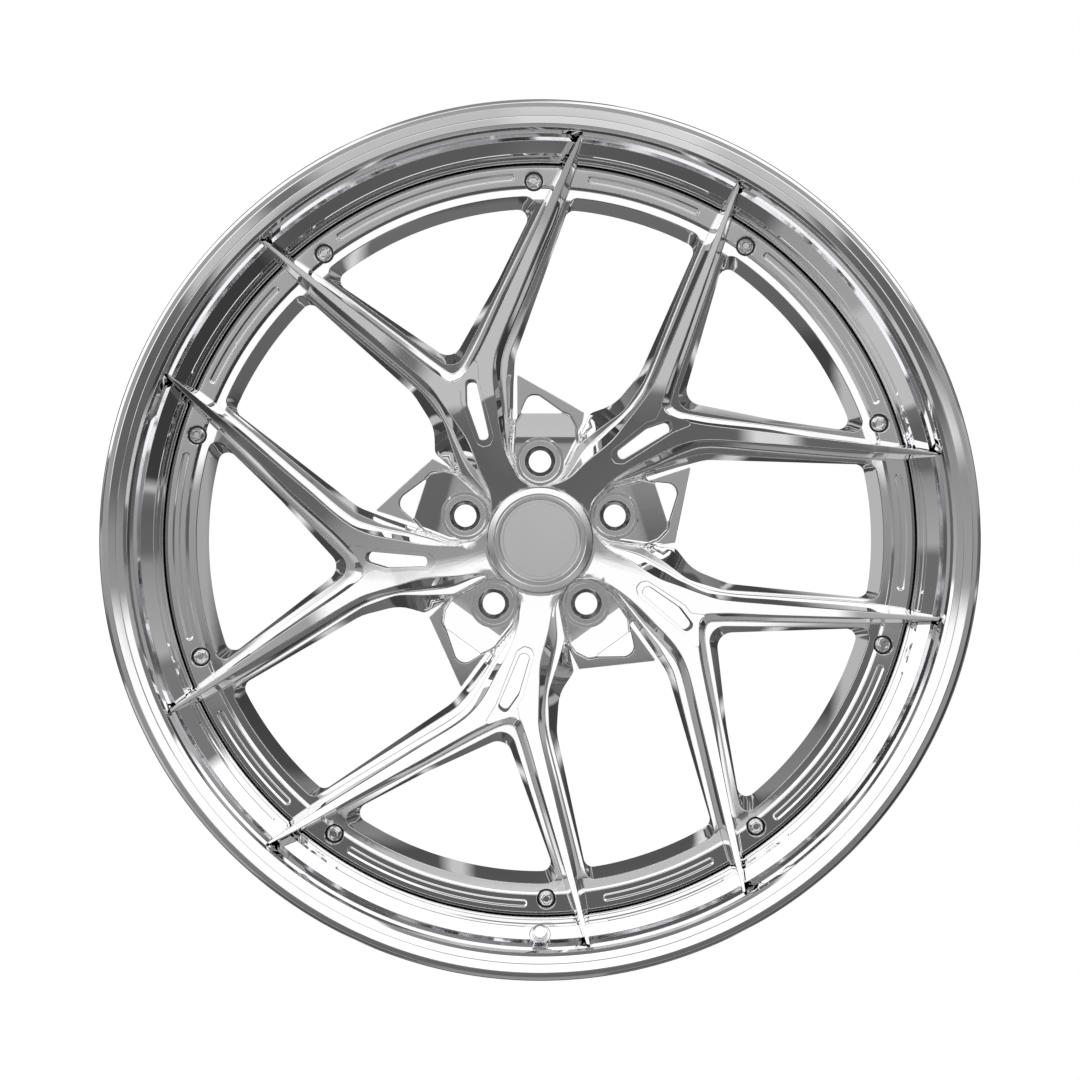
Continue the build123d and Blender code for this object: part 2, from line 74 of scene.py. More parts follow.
# Window edges: (shelf x, shelf y, back x, back y, corner radius), rim end first.
WINDOW_FORK = [
    (-143.3, 179, -139.1, 177.9, 6.5), (-59, 117, -61.9, 126.1, 10.5),
    (-29, 174.9, -29.5, 182.5, 90), (-3.2, 230.9, -7.3, 226.7, 6.5),
]
WINDOW_A_WIDE = [
    (18.9, 229.1, 16.9, 224, 6.5), (-21.6, 128.9, -17.7, 129, 30), (-23.6, 109, -18.8, 108, 30),
]
WINDOW_HUB = [
    (-22.2, 77, -19.2, 77, 12), (-21.9, 60, -20.3, 60.4, 12), (-15.5, 43, -14.4, 44.6, 13),
    (0, 33.5, 0, 35.3, 13), (15.5, 43, 14.4, 44.6, 12),
]
WINDOW_B_WIDE = [
    (-158, 165.2, -156.9, 163.5, 6.5), (-83, 103.3, -89.5, 103.2, 30),
    (-67.5, 83.5, -74.9, 80, 30), (-61.2, 63.5, -74.3, 61.4, 6), (-54.7, 45.6, -57.1, 45.7, 8),
]
# Pockets of one pair: outlines as (x, y, corner radius).
LEDGE = [
    (-43.5, 127.5, 2), (-42.5, 110.7, 8), (-32.3, 71.5, 5), (-34.5, 66, 3), (-39, 64.6, 3),
    (-43.5, 66.6, 5), (-54.7, 95.5, 3), (-54.7, 102.4, 3), (-62.2, 109.2, 1), (-53.5, 113.5, 1),
]
SLOT = [
    (-51.6, 111.3, 3.2), (-51.4, 95.8, 8), (-42, 69.4, 3.4), (-35.1, 70.4, 3.4), (-44.5, 111.3, 3.2),
]
LUG_POCKET = [
    (-12.5, 91.8, 3), (-24, 72.4, 5), (-24, 40, 9), (0, 28, 9), (29, 40, 9),
    (29.5, 67.8, 2), (26.8, 69, 3), (26.1, 80, 5), (21.5, 88.5, 5), (14, 91.8, 3),
]
LUG_OPENING = [(-14.5, 89.7, 1.5), (-8.5, 103.5, 6.5), (-1, 103.3, 6.5), (18.2, 89.7, 1.2)]
PAD = [(-27, 82, 2), (-16.2, 86, 1.5), (-16.2, 117.4, 1), (31.3, 90.3, 0.6), (27.2, 65.5, 1)]

PITCH = 72
WEDGE = (75, 147)
BORE = 33.3
HUB_TOP = 49
HUB_DISH = 105
HUB_FILLET, HUB_FILLET_REACH = 2.5, 95
PAD_TOP = 18
PAD_REACH = 120
LUG = (0, 56)
LUG_HOLE = 8
LEDGE_DEPTH = 3.5
# Lug pockets are deepest at the hub; from POCKET_BEND outward their floor rises.
POCKET_DEPTH, POCKET_LEAST, POCKET_RISE, POCKET_BEND = 3.5, 0.6, 0.135, 70
ARM_BACK = 35
ARM_BACK_RADIUS = 232
SHELF_RADIUS = 237.8
PILOT = 235.8
RING_FACE, FACE_START = 59.2, 235
RING_BACK = 49
RING_OUTER = 257
STEP_FOOT, STEP_TOP, STEP_RISE = 243, 244.7, 4
BOLT_RADIUS = 248
BOLT_ANGLES = (91, 127)
RECESS_RADIUS, RECESS_FLOOR = 6.7, 56
GROOVE_RADIUS, GROOVE_HALF, GROOVE_DEPTH, GROOVE_SIDE = 250.9, 2.6, 0.9, 1.1
# The second groove runs over the wedge's end, so its copy one pitch back is cut as well.
GROOVES = [(94.6, 123.4), (136.6, 153.9)]
GROOVES.append(tuple(a - PITCH for a in GROOVES[1]))
# Underside of the fins that run out over the lip: (radius, height).
FIN_UNDER = (
    (257, 63), (259, 64.2), (263.2, 75.2), (271.2, 80.6),
    (272.6, 84.5), (274.2, 95), (275.6, 98.6), (277, 102),
)


# ------------------------------------------------------------------ outlines


def turned(points, degrees):
    """Rows turned about the wheel axis: each pair of columns is a point, and an odd last one stays."""
    a = math.radians(degrees)
    out = np.array(points, float)
    for k in range(0, out.shape[1] - out.shape[1] % 2, 2):
        x, y = out[:, k].copy(), out[:, k + 1].copy()
        out[:, k] = x * math.cos(a) - y * math.sin(a)
        out[:, k + 1] = x * math.sin(a) + y * math.cos(a)
    return out


def polar(radius, degrees):
    """Point on a circle about the wheel axis."""
    a = math.radians(degrees)
    return radius * math.cos(a), radius * math.sin(a)


def unit(vectors):
    return vectors / np.linalg.norm(vectors, axis=1)[:, None]


def anticlockwise(loop):
    area = np.sum(loop[:, 0] * np.roll(loop[:, 1], -1) - loop[:, 1] * np.roll(loop[:, 0], -1))
    return loop if area > 0 else loop[::-1]


def linear(t, first, last, low, high):
    """Runs from first at t = low to last at t = high."""
    return ((high - t) * first + (t - low) * last) / (high - low)


def curve(points, step):
    """Smooth curve through the points (centripetal Catmull-Rom), sampled about every step mm."""
    p = np.array(points, float)
    p = np.vstack([2 * p[0] - p[1], p, 2 * p[-1] - p[-2]])
    gaps = np.maximum(np.linalg.norm(np.diff(p[:, :2], axis=0), axis=1), 1)
    knots = np.concatenate([[0], np.cumsum(np.sqrt(gaps))])
    out = []
    for i in range(1, len(p) - 2):
        a, b, c, d = p[i - 1 : i + 3]
        ka, kb, kc, kd = knots[i - 1 : i + 3]
        count = max(2, math.ceil(gaps[i] / step))
        t = np.linspace(kb, kc, count, endpoint=False)[:, None]
        ab, bc, cd = linear(t, a, b, ka, kb), linear(t, b, c, kb, kc), linear(t, c, d, kc, kd)
        abc, bcd = linear(t, ab, bc, ka, kc), linear(t, bc, cd, kb, kd)
        out.append(linear(t, abc, bcd, kb, kc))
    return np.vstack(out + [p[-2:-1]])


def rounded(points, step=3.0, turn=9):
    """Closed outline from (x, y, corner radius): straight runs and corner arcs, sampled."""
    p = np.array(points, float)
    corners = []
    for i in range(len(p)):
        before, at, after = p[i - 1, :2], p[i, :2], p[(i + 1) % len(p), :2]
        a, b = before - at, after - at
        a, b = a / np.linalg.norm(a), b / np.linalg.norm(b)
        half = math.acos(np.clip(a @ b, -1, 1)) / 2
        radius = p[i, 2]
        if radius == 0 or half > math.radians(89.5):
            corners.append(at[None])
            continue
        middle = at + (a + b) / np.linalg.norm(a + b) * radius / math.sin(half)
        start = at + a * radius / math.tan(half)
        end = at + b * radius / math.tan(half)
        swing = math.pi - 2 * half
        count = max(3, math.ceil(math.degrees(swing) / turn) + 1)
        u, v = start - middle, end - middle
        w = np.linspace(0, 1, count)[:, None]
        arc = (np.sin((1 - w) * swing) * u + np.sin(w * swing) * v) / math.sin(swing)
        corners.append(middle + arc)
    out = []
    for i, corner in enumerate(corners):
        out.append(corner)
        a, b = corner[-1], corners[(i + 1) % len(corners)][0]
        count = math.ceil(np.linalg.norm(b - a) / step)
        if count > 1:
            out.append(a + (b - a) * (np.arange(1, count) / count)[:, None])
    return anticlockwise(np.vstack(out))


def circle(center, radius, count):
    a = np.arange(count) * 2 * math.pi / count
    return np.column_stack([center[0] + radius * np.cos(a), center[1] + radius * np.sin(a)])


def hit_ring(end, inner, ring):
    """Where the straight edge from inner through end meets a circle about the axis."""
    end, inner = np.array(end, float), np.array(inner, float)
    u = (end - inner) / np.linalg.norm(end - inner)
    b = inner @ u
    return inner + u * (-b + math.sqrt(b * b - inner @ inner + ring * ring))


def window_loop(points, side, ring):
    """Closed window outline at the shelf (side 0) or the back (side 2), ended by the ring's wall."""
    p = np.array(points, float)
    xy, radii = p[:, side : side + 2], p[:, 4].copy()
    first, last = hit_ring(xy[0], xy[1], ring), hit_ring(xy[-1], xy[-2], ring)
    xy[0], xy[-1] = first, last
    a0, a1 = math.atan2(last[1], last[0]), math.atan2(first[1], first[0])
    sweep = (a1 - a0 + math.pi) % (2 * math.pi) - math.pi
    gap = math.copysign(math.radians(3.2), sweep)
    a = np.linspace(a0 + gap, a0 + sweep - gap, 26)
    arc = np.column_stack([ring * np.cos(a), ring * np.sin(a), 0 * a])
    return rounded(np.vstack([np.column_stack([xy, radii]), arc]))


def offset(points, distance, closed=True):
    """The same outline moved sideways."""
    if closed:
        along = np.roll(points, -1, 0) - np.roll(points, 1, 0)
    else:
        along = np.gradient(points, axis=0)
    along = unit(along)
    return points + np.column_stack([-along[:, 1], along[:, 0]]) * distance


def inside(points, loop):
    """Which points lie inside a closed outline, by counting crossings."""
    a, b = loop, np.roll(loop, -1, 0)
    out = np.zeros(len(points), bool)
    for (ax, ay), (bx, by) in zip(a, b):
        if ay == by:
            continue
        crossing = (ay > points[:, 1]) != (by > points[:, 1])
        out ^= crossing & (points[:, 0] < (bx - ax) * (points[:, 1] - ay) / (by - ay) + ax)
    return out


def nearest_on(points, starts, runs):
    """Which segment is nearest to each point, how far along it, and how far away."""
    index, share, distance = np.zeros(len(points), int), np.zeros(len(points)), np.zeros(len(points))
    batch = 4000
    for start in range(0, len(points), batch):
        part = slice(start, start + batch)
        rel = points[part, None] - starts
        t = np.clip((rel * runs).sum(2) / (runs**2).sum(1), 0, 1)
        away = np.linalg.norm(rel - t[..., None] * runs, axis=2)
        i = away.argmin(1)
        row = np.arange(len(i))
        index[part], share[part], distance[part] = i, t[row, i], away[row, i]
    return index, share[:, None], distance


def depth_in(points, loop):
    """Distance inside a closed outline (negative outside) and the direction it grows in."""
    run = np.roll(loop, -1, 0) - loop
    side = unit(np.column_stack([-run[:, 1], run[:, 0]]))
    corner = unit(side + np.roll(side, 1, 0))
    i, share, distance = nearest_on(points, loop, run)
    direction = corner[i] * (1 - share) + corner[(i + 1) % len(loop)] * share
    return np.where(inside(points, loop), distance, -distance), unit(direction)


# ------------------------------------------------------------ centre disc shape


def ramp(x, r):
    """0 below zero and x above, with a blend of radius r."""
    return np.where(x <= -r, 0, np.where(x >= r, x, (x + r) ** 2 / (4 * r)))


def rounded_edge(d, r):
    """Fall over a rounded edge that ends at d = 0."""
    return r - np.sqrt(np.maximum(r * r - (np.clip(d, -r, 0) + r) ** 2, 0))


def rounded_drop(d, r):
    """Fall over a rounded edge and down a steep wall; d grows into the cut."""
    return rounded_edge(d, r) + 40 * np.maximum(d, 0)


def cut(h, d, level, edge):
    """Pocket with a flat floor: d is the distance inside its outline."""
    return np.where(d > -edge, np.maximum(h - rounded_drop(d, edge), np.minimum(level, h)), h)


def fillet(d, radius):
    """Height of a hollow corner above its floor, d from the wall."""
    x = np.clip(radius - d, 0, radius)
    return radius - np.sqrt(np.maximum(radius * radius - x * x, 0))


def step_down(d, drop):
    """Fall over a rounded edge into a pocket whose floor meets its wall in a hollow corner."""
    edge, wall, foot = 0.8, 0.15, 1.4
    side = (drop - edge - foot) * np.clip(d / wall, 0, 1)
    return rounded_edge(d, edge) + side + foot - fillet(d - wall, foot)


def top_level(r):
    """Dished top line of the arms, with a flatter dish around the hub."""
    hub = 49.61 + 0.0945 * (r - 45) + 0.00025 * (r - 45) ** 2
    return np.maximum(np.where(r < HUB_DISH, hub, 49 + 50 * (r / 277) ** 2), HUB_TOP)


def shelf_level(r):
    """Foot of the arms' slopes: a flat cone up to the ring, whose face steps up to the bolts."""
    blend = 0.25
    rise = STEP_RISE * (ramp(r - STEP_FOOT, blend) - ramp(r - STEP_TOP, blend)) / (STEP_TOP - STEP_FOOT)
    tilt = 0.05 * (ramp(r - FACE_START, 1) - ramp(r - STEP_FOOT, blend))
    cone = RING_FACE - 0.14 * ramp(FACE_START - r, 1)
    return cone - tilt + rise - rounded_edge(r - RING_OUTER, 0.4) + np.maximum(r - RING_OUTER, 0)


def under_level(r):
    """Underside of the fins."""
    return np.interp(r, *zip(*FIN_UNDER))


def arm_back(r):
    """Back of the arms, a cone down to the hub pad's front."""
    return np.maximum(ARM_BACK - 0.148 * (ARM_BACK_RADIUS - r), PAD_TOP)


def lug_center(k):
    return turned([LUG], PITCH * k)[0]


def groove_distance(x, y, span):
    """Distance inside a groove that follows an arc of the ring."""
    a = np.degrees(np.arctan2(y, x))
    near = np.radians(np.clip(a, *span))
    return GROOVE_HALF - np.hypot(x - GROOVE_RADIUS * np.cos(near), y - GROOVE_RADIUS * np.sin(near))


def slope_share(outer, inner, r_top, r_foot):
    """How far down a slope a point is, 0 at its top edge and 1 at its foot."""
    share = (ramp(outer, r_top) - ramp(inner, r_foot)) / np.maximum(outer - inner, 0.4)
    return np.where(inner > 2, 1, share)


def ring_cuts(h, x, y):
    """Arc grooves and bolt recesses in the ring's face."""
    for span in GROOVES:
        d = groove_distance(x, y, span)
        h = h - GROOVE_DEPTH * (ramp(d, 0.2) - ramp(d - GROOVE_SIDE, 0.2)) / GROOVE_SIDE
    for a in BOLT_ANGLES:
        bolt_x, bolt_y = polar(BOLT_RADIUS, a)
        h = cut(h, RECESS_RADIUS - np.hypot(x - bolt_x, y - bolt_y), RECESS_FLOOR, 0.35)
    return h


def low_level(f, r):
    """Floor between the arms: their back edge, and near the hub the pad with its lug pockets."""
    pad_edge = np.where(f["pad"] > 0, rounded_edge(-f["pad"], 0.4), 0)
    low = np.where(r < PAD_REACH, PAD_TOP - pad_edge, arm_back(r))
    for k in (0, 1):
        pocket, opening = f[f"pocket{k}"], f[f"open{k}"]
        outward = lug_center(k) / LUG[1]
        along = f["x"] * outward[0] + f["y"] * outward[1]
        sunk = np.maximum(POCKET_DEPTH - POCKET_RISE * ramp(along - POCKET_BEND, 4), POCKET_LEAST)
        low = np.where(pocket > -0.8, low - step_down(pocket, sunk), low)
        low = low - np.where(opening < 0.01, rounded_edge(opening, 0.35), 0)
    return low


def lug_seat(h, x, y):
    """Cone seat around each lug hole, with a flat ring, an outer cone and a steep wall."""
    ring, cone_out, ring_out, collar_out, reach = 12, 11, 14.6, 17.1, 18.5
    for k in (0, 1):
        rho = np.hypot(x - lug_center(k)[0], y - lug_center(k)[1])
        cone = 1.73 * ramp(cone_out - rho, 0.15)
        seat = ring - cone + ramp(rho - ring_out, 0.2) + 12 * ramp(rho - collar_out, 0.1)
        h = np.where(rho < reach, np.minimum(h, seat), h)
    return h


def front_level(f):
    """Height of the front surface from the distances to every outline."""
    x, y = f["x"], f["y"]
    r = np.hypot(x, y)
    top, shelf = top_level(r), shelf_level(r)
    share = sum(slope_share(f["top" + k], f["foot" + k], 0.45, 0.8) for k in "012")
    h = top - (top - shelf) * np.minimum(share, 1)
    h = ring_cuts(h, x, y)
    h = cut(h, f["ledge"], np.minimum(h, top - LEDGE_DEPTH), 0.3)
    h = h - np.where(f["slot"] < 0.01, rounded_edge(f["slot"], 0.4), 0)
    low = low_level(f, r)
    share = sum(slope_share(f["shelf" + k], f["rear" + k], 0.3, 0.05) for k in "012")
    h = h - (h - low) * np.clip(share, 0, 1)
    for k in "12":
        rear = f["rear" + k]
        raised = np.maximum(h, np.where(share > 0.5, low + fillet(rear, HUB_FILLET), h))
        h = np.where((r < HUB_FILLET_REACH) & (rear > -0.3), raised, h)
    return lug_seat(h, x, y)


def wedge_outlines():
    """Edge pairs of the arms, and every closed outline of one wedge by name."""
    fork = curve(RIB_B_FORK + RIB_CROTCH + RIB_A_FORK, 2.5)
    wide = curve(np.vstack([RIB_A_WIDE, turned(RIB_B_WIDE, -PITCH)[::-1]]), 2.5)
    slopes = {"0": fork, "1": wide, "2": turned(wide, PITCH)}
    wide_window = np.vstack([WINDOW_A_WIDE, WINDOW_HUB, turned(WINDOW_B_WIDE, -PITCH)[::-1]])
    loops = {}
    for k, pair in slopes.items():
        loops["top" + k], loops["foot" + k] = anticlockwise(pair[:, :2]), anticlockwise(pair[:, 2:])
    for k, points in (("0", WINDOW_FORK), ("1", wide_window)):
        loops["shelf" + k] = window_loop(points, 0, SHELF_RADIUS)
        loops["rear" + k] = window_loop(points, 2, ARM_BACK_RADIUS)
    for name in ("shelf", "rear"):
        loops[name + "2"] = turned(loops[name + "1"], PITCH)
    loops["ledge"], loops["slot"] = rounded(LEDGE), rounded(SLOT)
    for name, outline in (("pocket", LUG_POCKET), ("open", LUG_OPENING)):
        loops[name + "0"] = rounded(outline)
        loops[name + "1"] = turned(loops[name + "0"], PITCH)
    loops["pad"] = rounded(np.vstack([turned(PAD, PITCH * k) for k in range(5, 0, -1)]))
    return slopes, loops


def fin_side(edge):
    """Side of a fin beyond the ring, from inside out, where the arm's slope meets the fin's underside."""
    out = []
    q = np.linspace(0, 1, 161)[:, None]
    for row in curve(edge, 1.2):
        top, foot = row[:2], row[2:]
        line = top + (foot - top) * q
        r = np.linalg.norm(line, axis=1)
        if not 250 < r[0] < 279:
            continue
        high, low = top_level(np.hypot(*top)), shelf_level(np.hypot(*foot))
        level = high + (low - high) * q[:, 0]
        above = np.nonzero(level >= under_level(r) - 1e-6)[0]
        if len(above):
            out.append(line[above[-1]])
    out = np.array(out)
    return out[np.argsort(np.hypot(*out.T))]


def fins():
    """Outlines of the two fins of one wedge."""
    sides = ((RIB_A_FORK, RIB_A_WIDE), (RIB_B_FORK, RIB_B_WIDE))
    return [np.vstack([fin_side(fork), fin_side(wide)[::-1]]) for fork, wide in sides]


def wedge_rails(slopes, loops, fin_loops):
    """Every line the mesh must follow, as (points, closed)."""
    rails = []
    for pair in slopes.values():
        top, foot = pair[:, :2], pair[:, 2:]
        for line, moves in ((top, (-0.45, 0, 0.45)), (foot, (-0.8, 0, 0.8))):
            rails += [(offset(line, m, False), False) for m in moves]
        rails += [(top * (1 - q) + foot * q, False) for q in (0.35, 0.7)]
    moves = {
        "shelf": (-0.3, 0, 0.3),
        "rear": (-0.12, -0.05, 0, 0.12, 0.4, 1, 1.7, 2.5),
        "ledge": (-0.3, -0.12, -0.02, 0, 0.1),
        "slot": (-0.4, -0.2, -0.05, 0),
        "pad": (0.4, 0.2, 0.05, 0),
        "open": (-0.35, -0.15, 0),
        "pocket": (-0.8, -0.45, -0.2, -0.05, 0, 0.15, 0.25, 0.5, 0.95, 1.55),
    }
    for name, loop in loops.items():
        rails += [(offset(loop, m), True) for m in moves.get(name.rstrip("012"), ())]
    for k in (0, 1):
        center = lug_center(k)
        for radius in (LUG_HOLE, 10.85, 11.15, 14.4, 14.8, 17, 17.2, 17.5):
            rails.append((circle(center, radius, 60), True))
        outward = center / LUG[1]
        across = np.array([-outward[1], outward[0]]) * np.linspace(-24, 24, 25)[:, None]
        for distance in (66, 70, 74):
            rails.append((outward * distance + across, False))
    for a in BOLT_ANGLES:
        for radius in (7.05, 6.85, RECESS_RADIUS, 6.5):
            rails.append((circle(polar(BOLT_RADIUS, a), radius, 48), True))
    rings = [(radius, 100) for radius in (BORE, 36, 39.2)]
    rings += [(radius, 360) for radius in (RING_OUTER, 256.96, 256.8, 256.6)]
    rings += [(radius, 360) for radius in (PILOT, 242.7, STEP_FOOT, 243.3, 244.4, STEP_TOP, 245)]
    rails += [(circle((0, 0), radius, count), True) for radius, count in rings]
    for span in GROOVES:
        for half in (2.8, GROOVE_HALF, 2.4, 1.7, 1.5, 1.3):
            rails.append((groove_line(span, half), True))
    rails += [(loop, True) for loop in fin_loops]
    rails += [(np.array([polar(r, a) for r in np.arange(BORE, 280, 4.0)]), False) for a in WEDGE]
    return rails


def groove_line(span, half):
    """Closed outline with round ends, at the distance half from a groove's middle line."""
    outer, inner, ends = [], [], []
    for a in np.linspace(*span, 30):
        u = np.array(polar(1, a))
        outer.append(u * (GROOVE_RADIUS + half))
        inner.append(u * (GROOVE_RADIUS - half))
    for a, way in ((span[1], 1), (span[0], -1)):
        u, v = np.array(polar(1, a)), np.array(polar(1, a + 90))
        for swing in range(15, 166, 15):
            across, along = polar(half * way, swing)
            ends.append(u * (GROOVE_RADIUS + across) + v * along)
    return np.array(outer + ends[:11] + inner[::-1] + ends[11:])


def wedge_lines(rails):
    """Points of the rails inside the wedge, and the edges that join them."""
    points, edges = [], []
    for line, closed in rails:
        a, r = np.degrees(np.arctan2(line[:, 1], line[:, 0])), np.hypot(line[:, 0], line[:, 1])
        good = (a > WEDGE[0] - 3) & (a < WEDGE[1] + 3) & (r > BORE - 0.1) & (r < 279)
        joined = good & np.roll(good, -1)
        if not closed:
            joined[-1] = False
        used = joined | np.roll(joined, 1)
        number = (len(points) + np.cumsum(used) - 1).tolist()
        edges += [(number[i], number[(i + 1) % len(line)]) for i in np.nonzero(joined)[0]]
        points += line[used].tolist()
    return np.array(points), edges


def filling(lines, edges):
    """Points in staggered rows that fill the wedge, clear of every line."""
    rows = []
    for n, r in enumerate(np.arange(BORE, 258, 4.5)):
        count = max(6, int(r * math.radians(PITCH) / 5))
        a = np.radians(WEDGE[0] + (np.arange(1, count) + 0.5 * (n % 2)) * PITCH / count)
        rows.append(np.column_stack([r * np.cos(a), r * np.sin(a)]))
    grid = np.vstack(rows)
    ends = np.array(edges)
    taken = np.vstack([lines, (lines[ends[:, 0]] + lines[ends[:, 1]]) / 2])
    near = np.full(len(grid), np.inf)
    for start in range(0, len(taken), 500):
        d = np.linalg.norm(grid[:, None] - taken[None, start : start + 500], axis=2).min(1)
        near = np.minimum(near, d)
    return grid[near > 1.6]


def twice_area(xy, tris):
    u, v = xy[tris[:, 1]] - xy[tris[:, 0]], xy[tris[:, 2]] - xy[tris[:, 0]]
    return u[:, 0] * v[:, 1] - u[:, 1] * v[:, 0]


def wedge_mesh():
    """Flat triangles of one wedge's solid part, with those on the pad and on the fins marked."""
    slopes, loops = wedge_outlines()
    fin_loops = fins()
    lines, edges = wedge_lines(wedge_rails(slopes, loops, fin_loops))
    verts = [Vector(p) for p in np.vstack([lines, filling(lines, edges)])]
    out, _, faces, *_ = delaunay_2d_cdt(verts, edges, [], 0, 1e-4)
    xy = np.array([tuple(v) for v in out])
    tris = np.array([f for f in faces if len(f) == 3])
    middle = xy[tris].mean(1)
    r, a = np.hypot(*middle.T), np.degrees(np.arctan2(middle[:, 1], middle[:, 0]))
    hits = {k: inside(middle, loops[k]) for k in loops if not k.startswith(("top", "foot", "shelf"))}
    on_fin = inside(middle, fin_loops[0]) | inside(middle, fin_loops[1])
    solid = (a > WEDGE[0]) & (a < WEDGE[1]) & (r > BORE) & ((r < RING_OUTER) | on_fin)
    solid &= ~(hits["rear0"] | hits["slot"] | hits["open0"] | hits["open1"])
    solid &= ~((hits["rear1"] | hits["rear2"]) & ~hits["pad"])
    for k in (0, 1):
        solid &= np.linalg.norm(middle - lug_center(k), axis=1) > LUG_HOLE
    solid &= np.abs(twice_area(xy, tris)) > 1e-7
    tris, on_pad, outer = tris[solid], hits["pad"][solid], (r > RING_OUTER)[solid]
    flip = twice_area(xy, tris) < 0
    tris[flip] = tris[flip][:, ::-1]
    return xy, tris, on_pad, outer, loops


def fields(xy, loops):
    """Distances to every outline, and how each grows along x and y."""
    f = {"x": xy[:, 0], "y": xy[:, 1]}
    gx = {"x": np.ones(len(xy)), "y": np.zeros(len(xy))}
    gy = {"x": np.zeros(len(xy)), "y": np.ones(len(xy))}
    for name, loop in loops.items():
        d, direction = depth_in(xy, loop)
        f[name], gx[name], gy[name] = d, direction[:, 0], direction[:, 1]
    return f, gx, gy


def front_surface(xy, loops):
    """Height and normal of the front at every point."""
    f, gx, gy = fields(xy, loops)
    step = 0.004
    slope = []
    for g in (gx, gy):
        ahead = front_level({k: f[k] + step * g[k] for k in f})
        behind = front_level({k: f[k] - step * g[k] for k in f})
        slope.append((ahead - behind) / (2 * step))
    return front_level(f), unit(np.column_stack([-slope[0], -slope[1], np.ones(len(xy))]))


def face_levels(xy, tris, on_pad, outer, front):
    """Heights of every triangle's corners on the front and on the back."""
    r = np.hypot(*xy.T)
    back = arm_back(r)[tris]
    back[np.hypot(*xy[tris].mean(1).T) > PILOT] = RING_BACK
    back[outer] = under_level(r)[tris[outer]]
    back[on_pad] = 0
    return np.maximum(front[tris], back), back


def wall_strips(xy, tris, high, back):
    """Upright strips (from, to, upper heights, lower heights) where the triangles end or step."""
    users = {}
    for t, tri in enumerate(tris):
        for i in range(3):
            users.setdefault((int(tri[i]), int(tri[(i + 1) % 3])), (t, i))
    walls = []
    for (a, b), (t, i) in users.items():
        upper, lower = high[t][[i, (i + 1) % 3]], back[t][[i, (i + 1) % 3]]
        if (b, a) in users:
            t2, i2 = users[(b, a)]
            upper = back[t2][[(i2 + 1) % 3, i2]]
            if np.any(lower < upper - 1e-6):
                walls.append((a, b, upper, lower))
            continue
        angle = np.arctan2(xy[[a, b], 1], xy[[a, b], 0])
        at_end = any(np.all(np.abs(angle - math.radians(end)) < 1e-6) for end in WEDGE)
        if not at_end and max(upper - lower) > 1e-6:
            walls.append((a, b, upper, lower))
    return walls


def wall_faces(xy, walls):
    """Faces of the strips, split where a neighbouring strip starts or ends, with their normals."""
    levels, facing, sides = {}, {}, []
    for a, b, upper, lower in walls:
        run = xy[b] - xy[a]
        sides.append(np.array([run[1], -run[0]]))
        for v, heights in ((a, (upper[0], lower[0])), (b, (upper[1], lower[1]))):
            levels.setdefault(v, set()).update(round(float(h), 6) for h in heights)
            facing[v] = facing.get(v, 0) + sides[-1]
    polygons, normals = [], []
    for (a, b, upper, lower), side in zip(walls, sides):
        own = side / np.linalg.norm(side)
        ring, ring_normals = [], []
        for v, low, high, way in ((a, lower[0], upper[0], -1), (b, lower[1], upper[1], 1)):
            low, high = round(float(low), 6), round(float(high), 6)
            n = facing[v] / (np.linalg.norm(facing[v]) + 1e-12)
            n = n if n @ own > 0.75 else own
            for h in sorted(h for h in levels[v] if low <= h <= high)[::way]:
                ring.append((v, h))
                ring_normals.append((*n, 0))
        if len(ring) >= 3:
            polygons.append(ring)
            normals.append(np.array(ring_normals))
    return polygons, normals


def disc_mesh():
    """Faces of one wedge as (point, height) corners, with a normal for each corner."""
    xy, tris, on_pad, outer, loops = wedge_mesh()
    front, normal = front_surface(xy, loops)
    high, back = face_levels(xy, tris, on_pad, outer, front)
    polygons, normals = [], []
    for tri, upper, lower in zip(tris, high, back):
        polygons.append([(int(v), float(h)) for v, h in zip(tri, upper)])
        normals.append(normal[tri])
        corners = np.column_stack([xy[tri], lower])
        n = np.cross(corners[2] - corners[0], corners[1] - corners[0])
        n /= np.linalg.norm(n) + 1e-12
        polygons.append([(int(v), float(h)) for v, h in zip(tri[::-1], lower[::-1])])
        normals.append(np.array([n, n, n]))
    walls, wall_normals = wall_faces(xy, wall_strips(xy, tris, high, back))
    return xy, polygons + walls, normals + wall_normals


def about_axis(degrees):
    """Matrix that turns row vectors about the wheel axis."""
    c, s = polar(1, degrees)
    return np.array([[c, s, 0], [-s, c, 0], [0, 0, 1]])


def build_disc():
    """Centre disc: five wedges joined where their corners meet."""
    xy, polygons, normals = disc_mesh()
    counts = [len(p) for p in polygons]
    corner = np.array([(xy[v][0], xy[v][1], h) for p in polygons for v, h in p])
    turns = [about_axis(PITCH * k) for k in range(5)]
    direction = np.vstack([np.vstack(normals) @ turn for turn in turns])
    corner = np.vstack([corner @ turn for turn in turns])
    merge = 0.002
    keys = np.round(corner / merge).astype(np.int64)
    _, first, index = np.unique(keys, axis=0, return_index=True, return_inverse=True)
    index = index.ravel()
    faces, loop_normals, at = [], [], 0
    for count in counts * 5:
        ring = index[at : at + count]
        kept = [i for i in range(count) if ring[i] != ring[i - 1]]
        if len(kept) >= 3 and len(set(ring[kept])) == len(kept):
            faces.append([int(ring[i]) for i in kept])
            loop_normals.append(direction[at : at + count][kept])
        at += count
    return mesh_object("disc_shape", corner[first], faces, np.vstack(loop_normals))


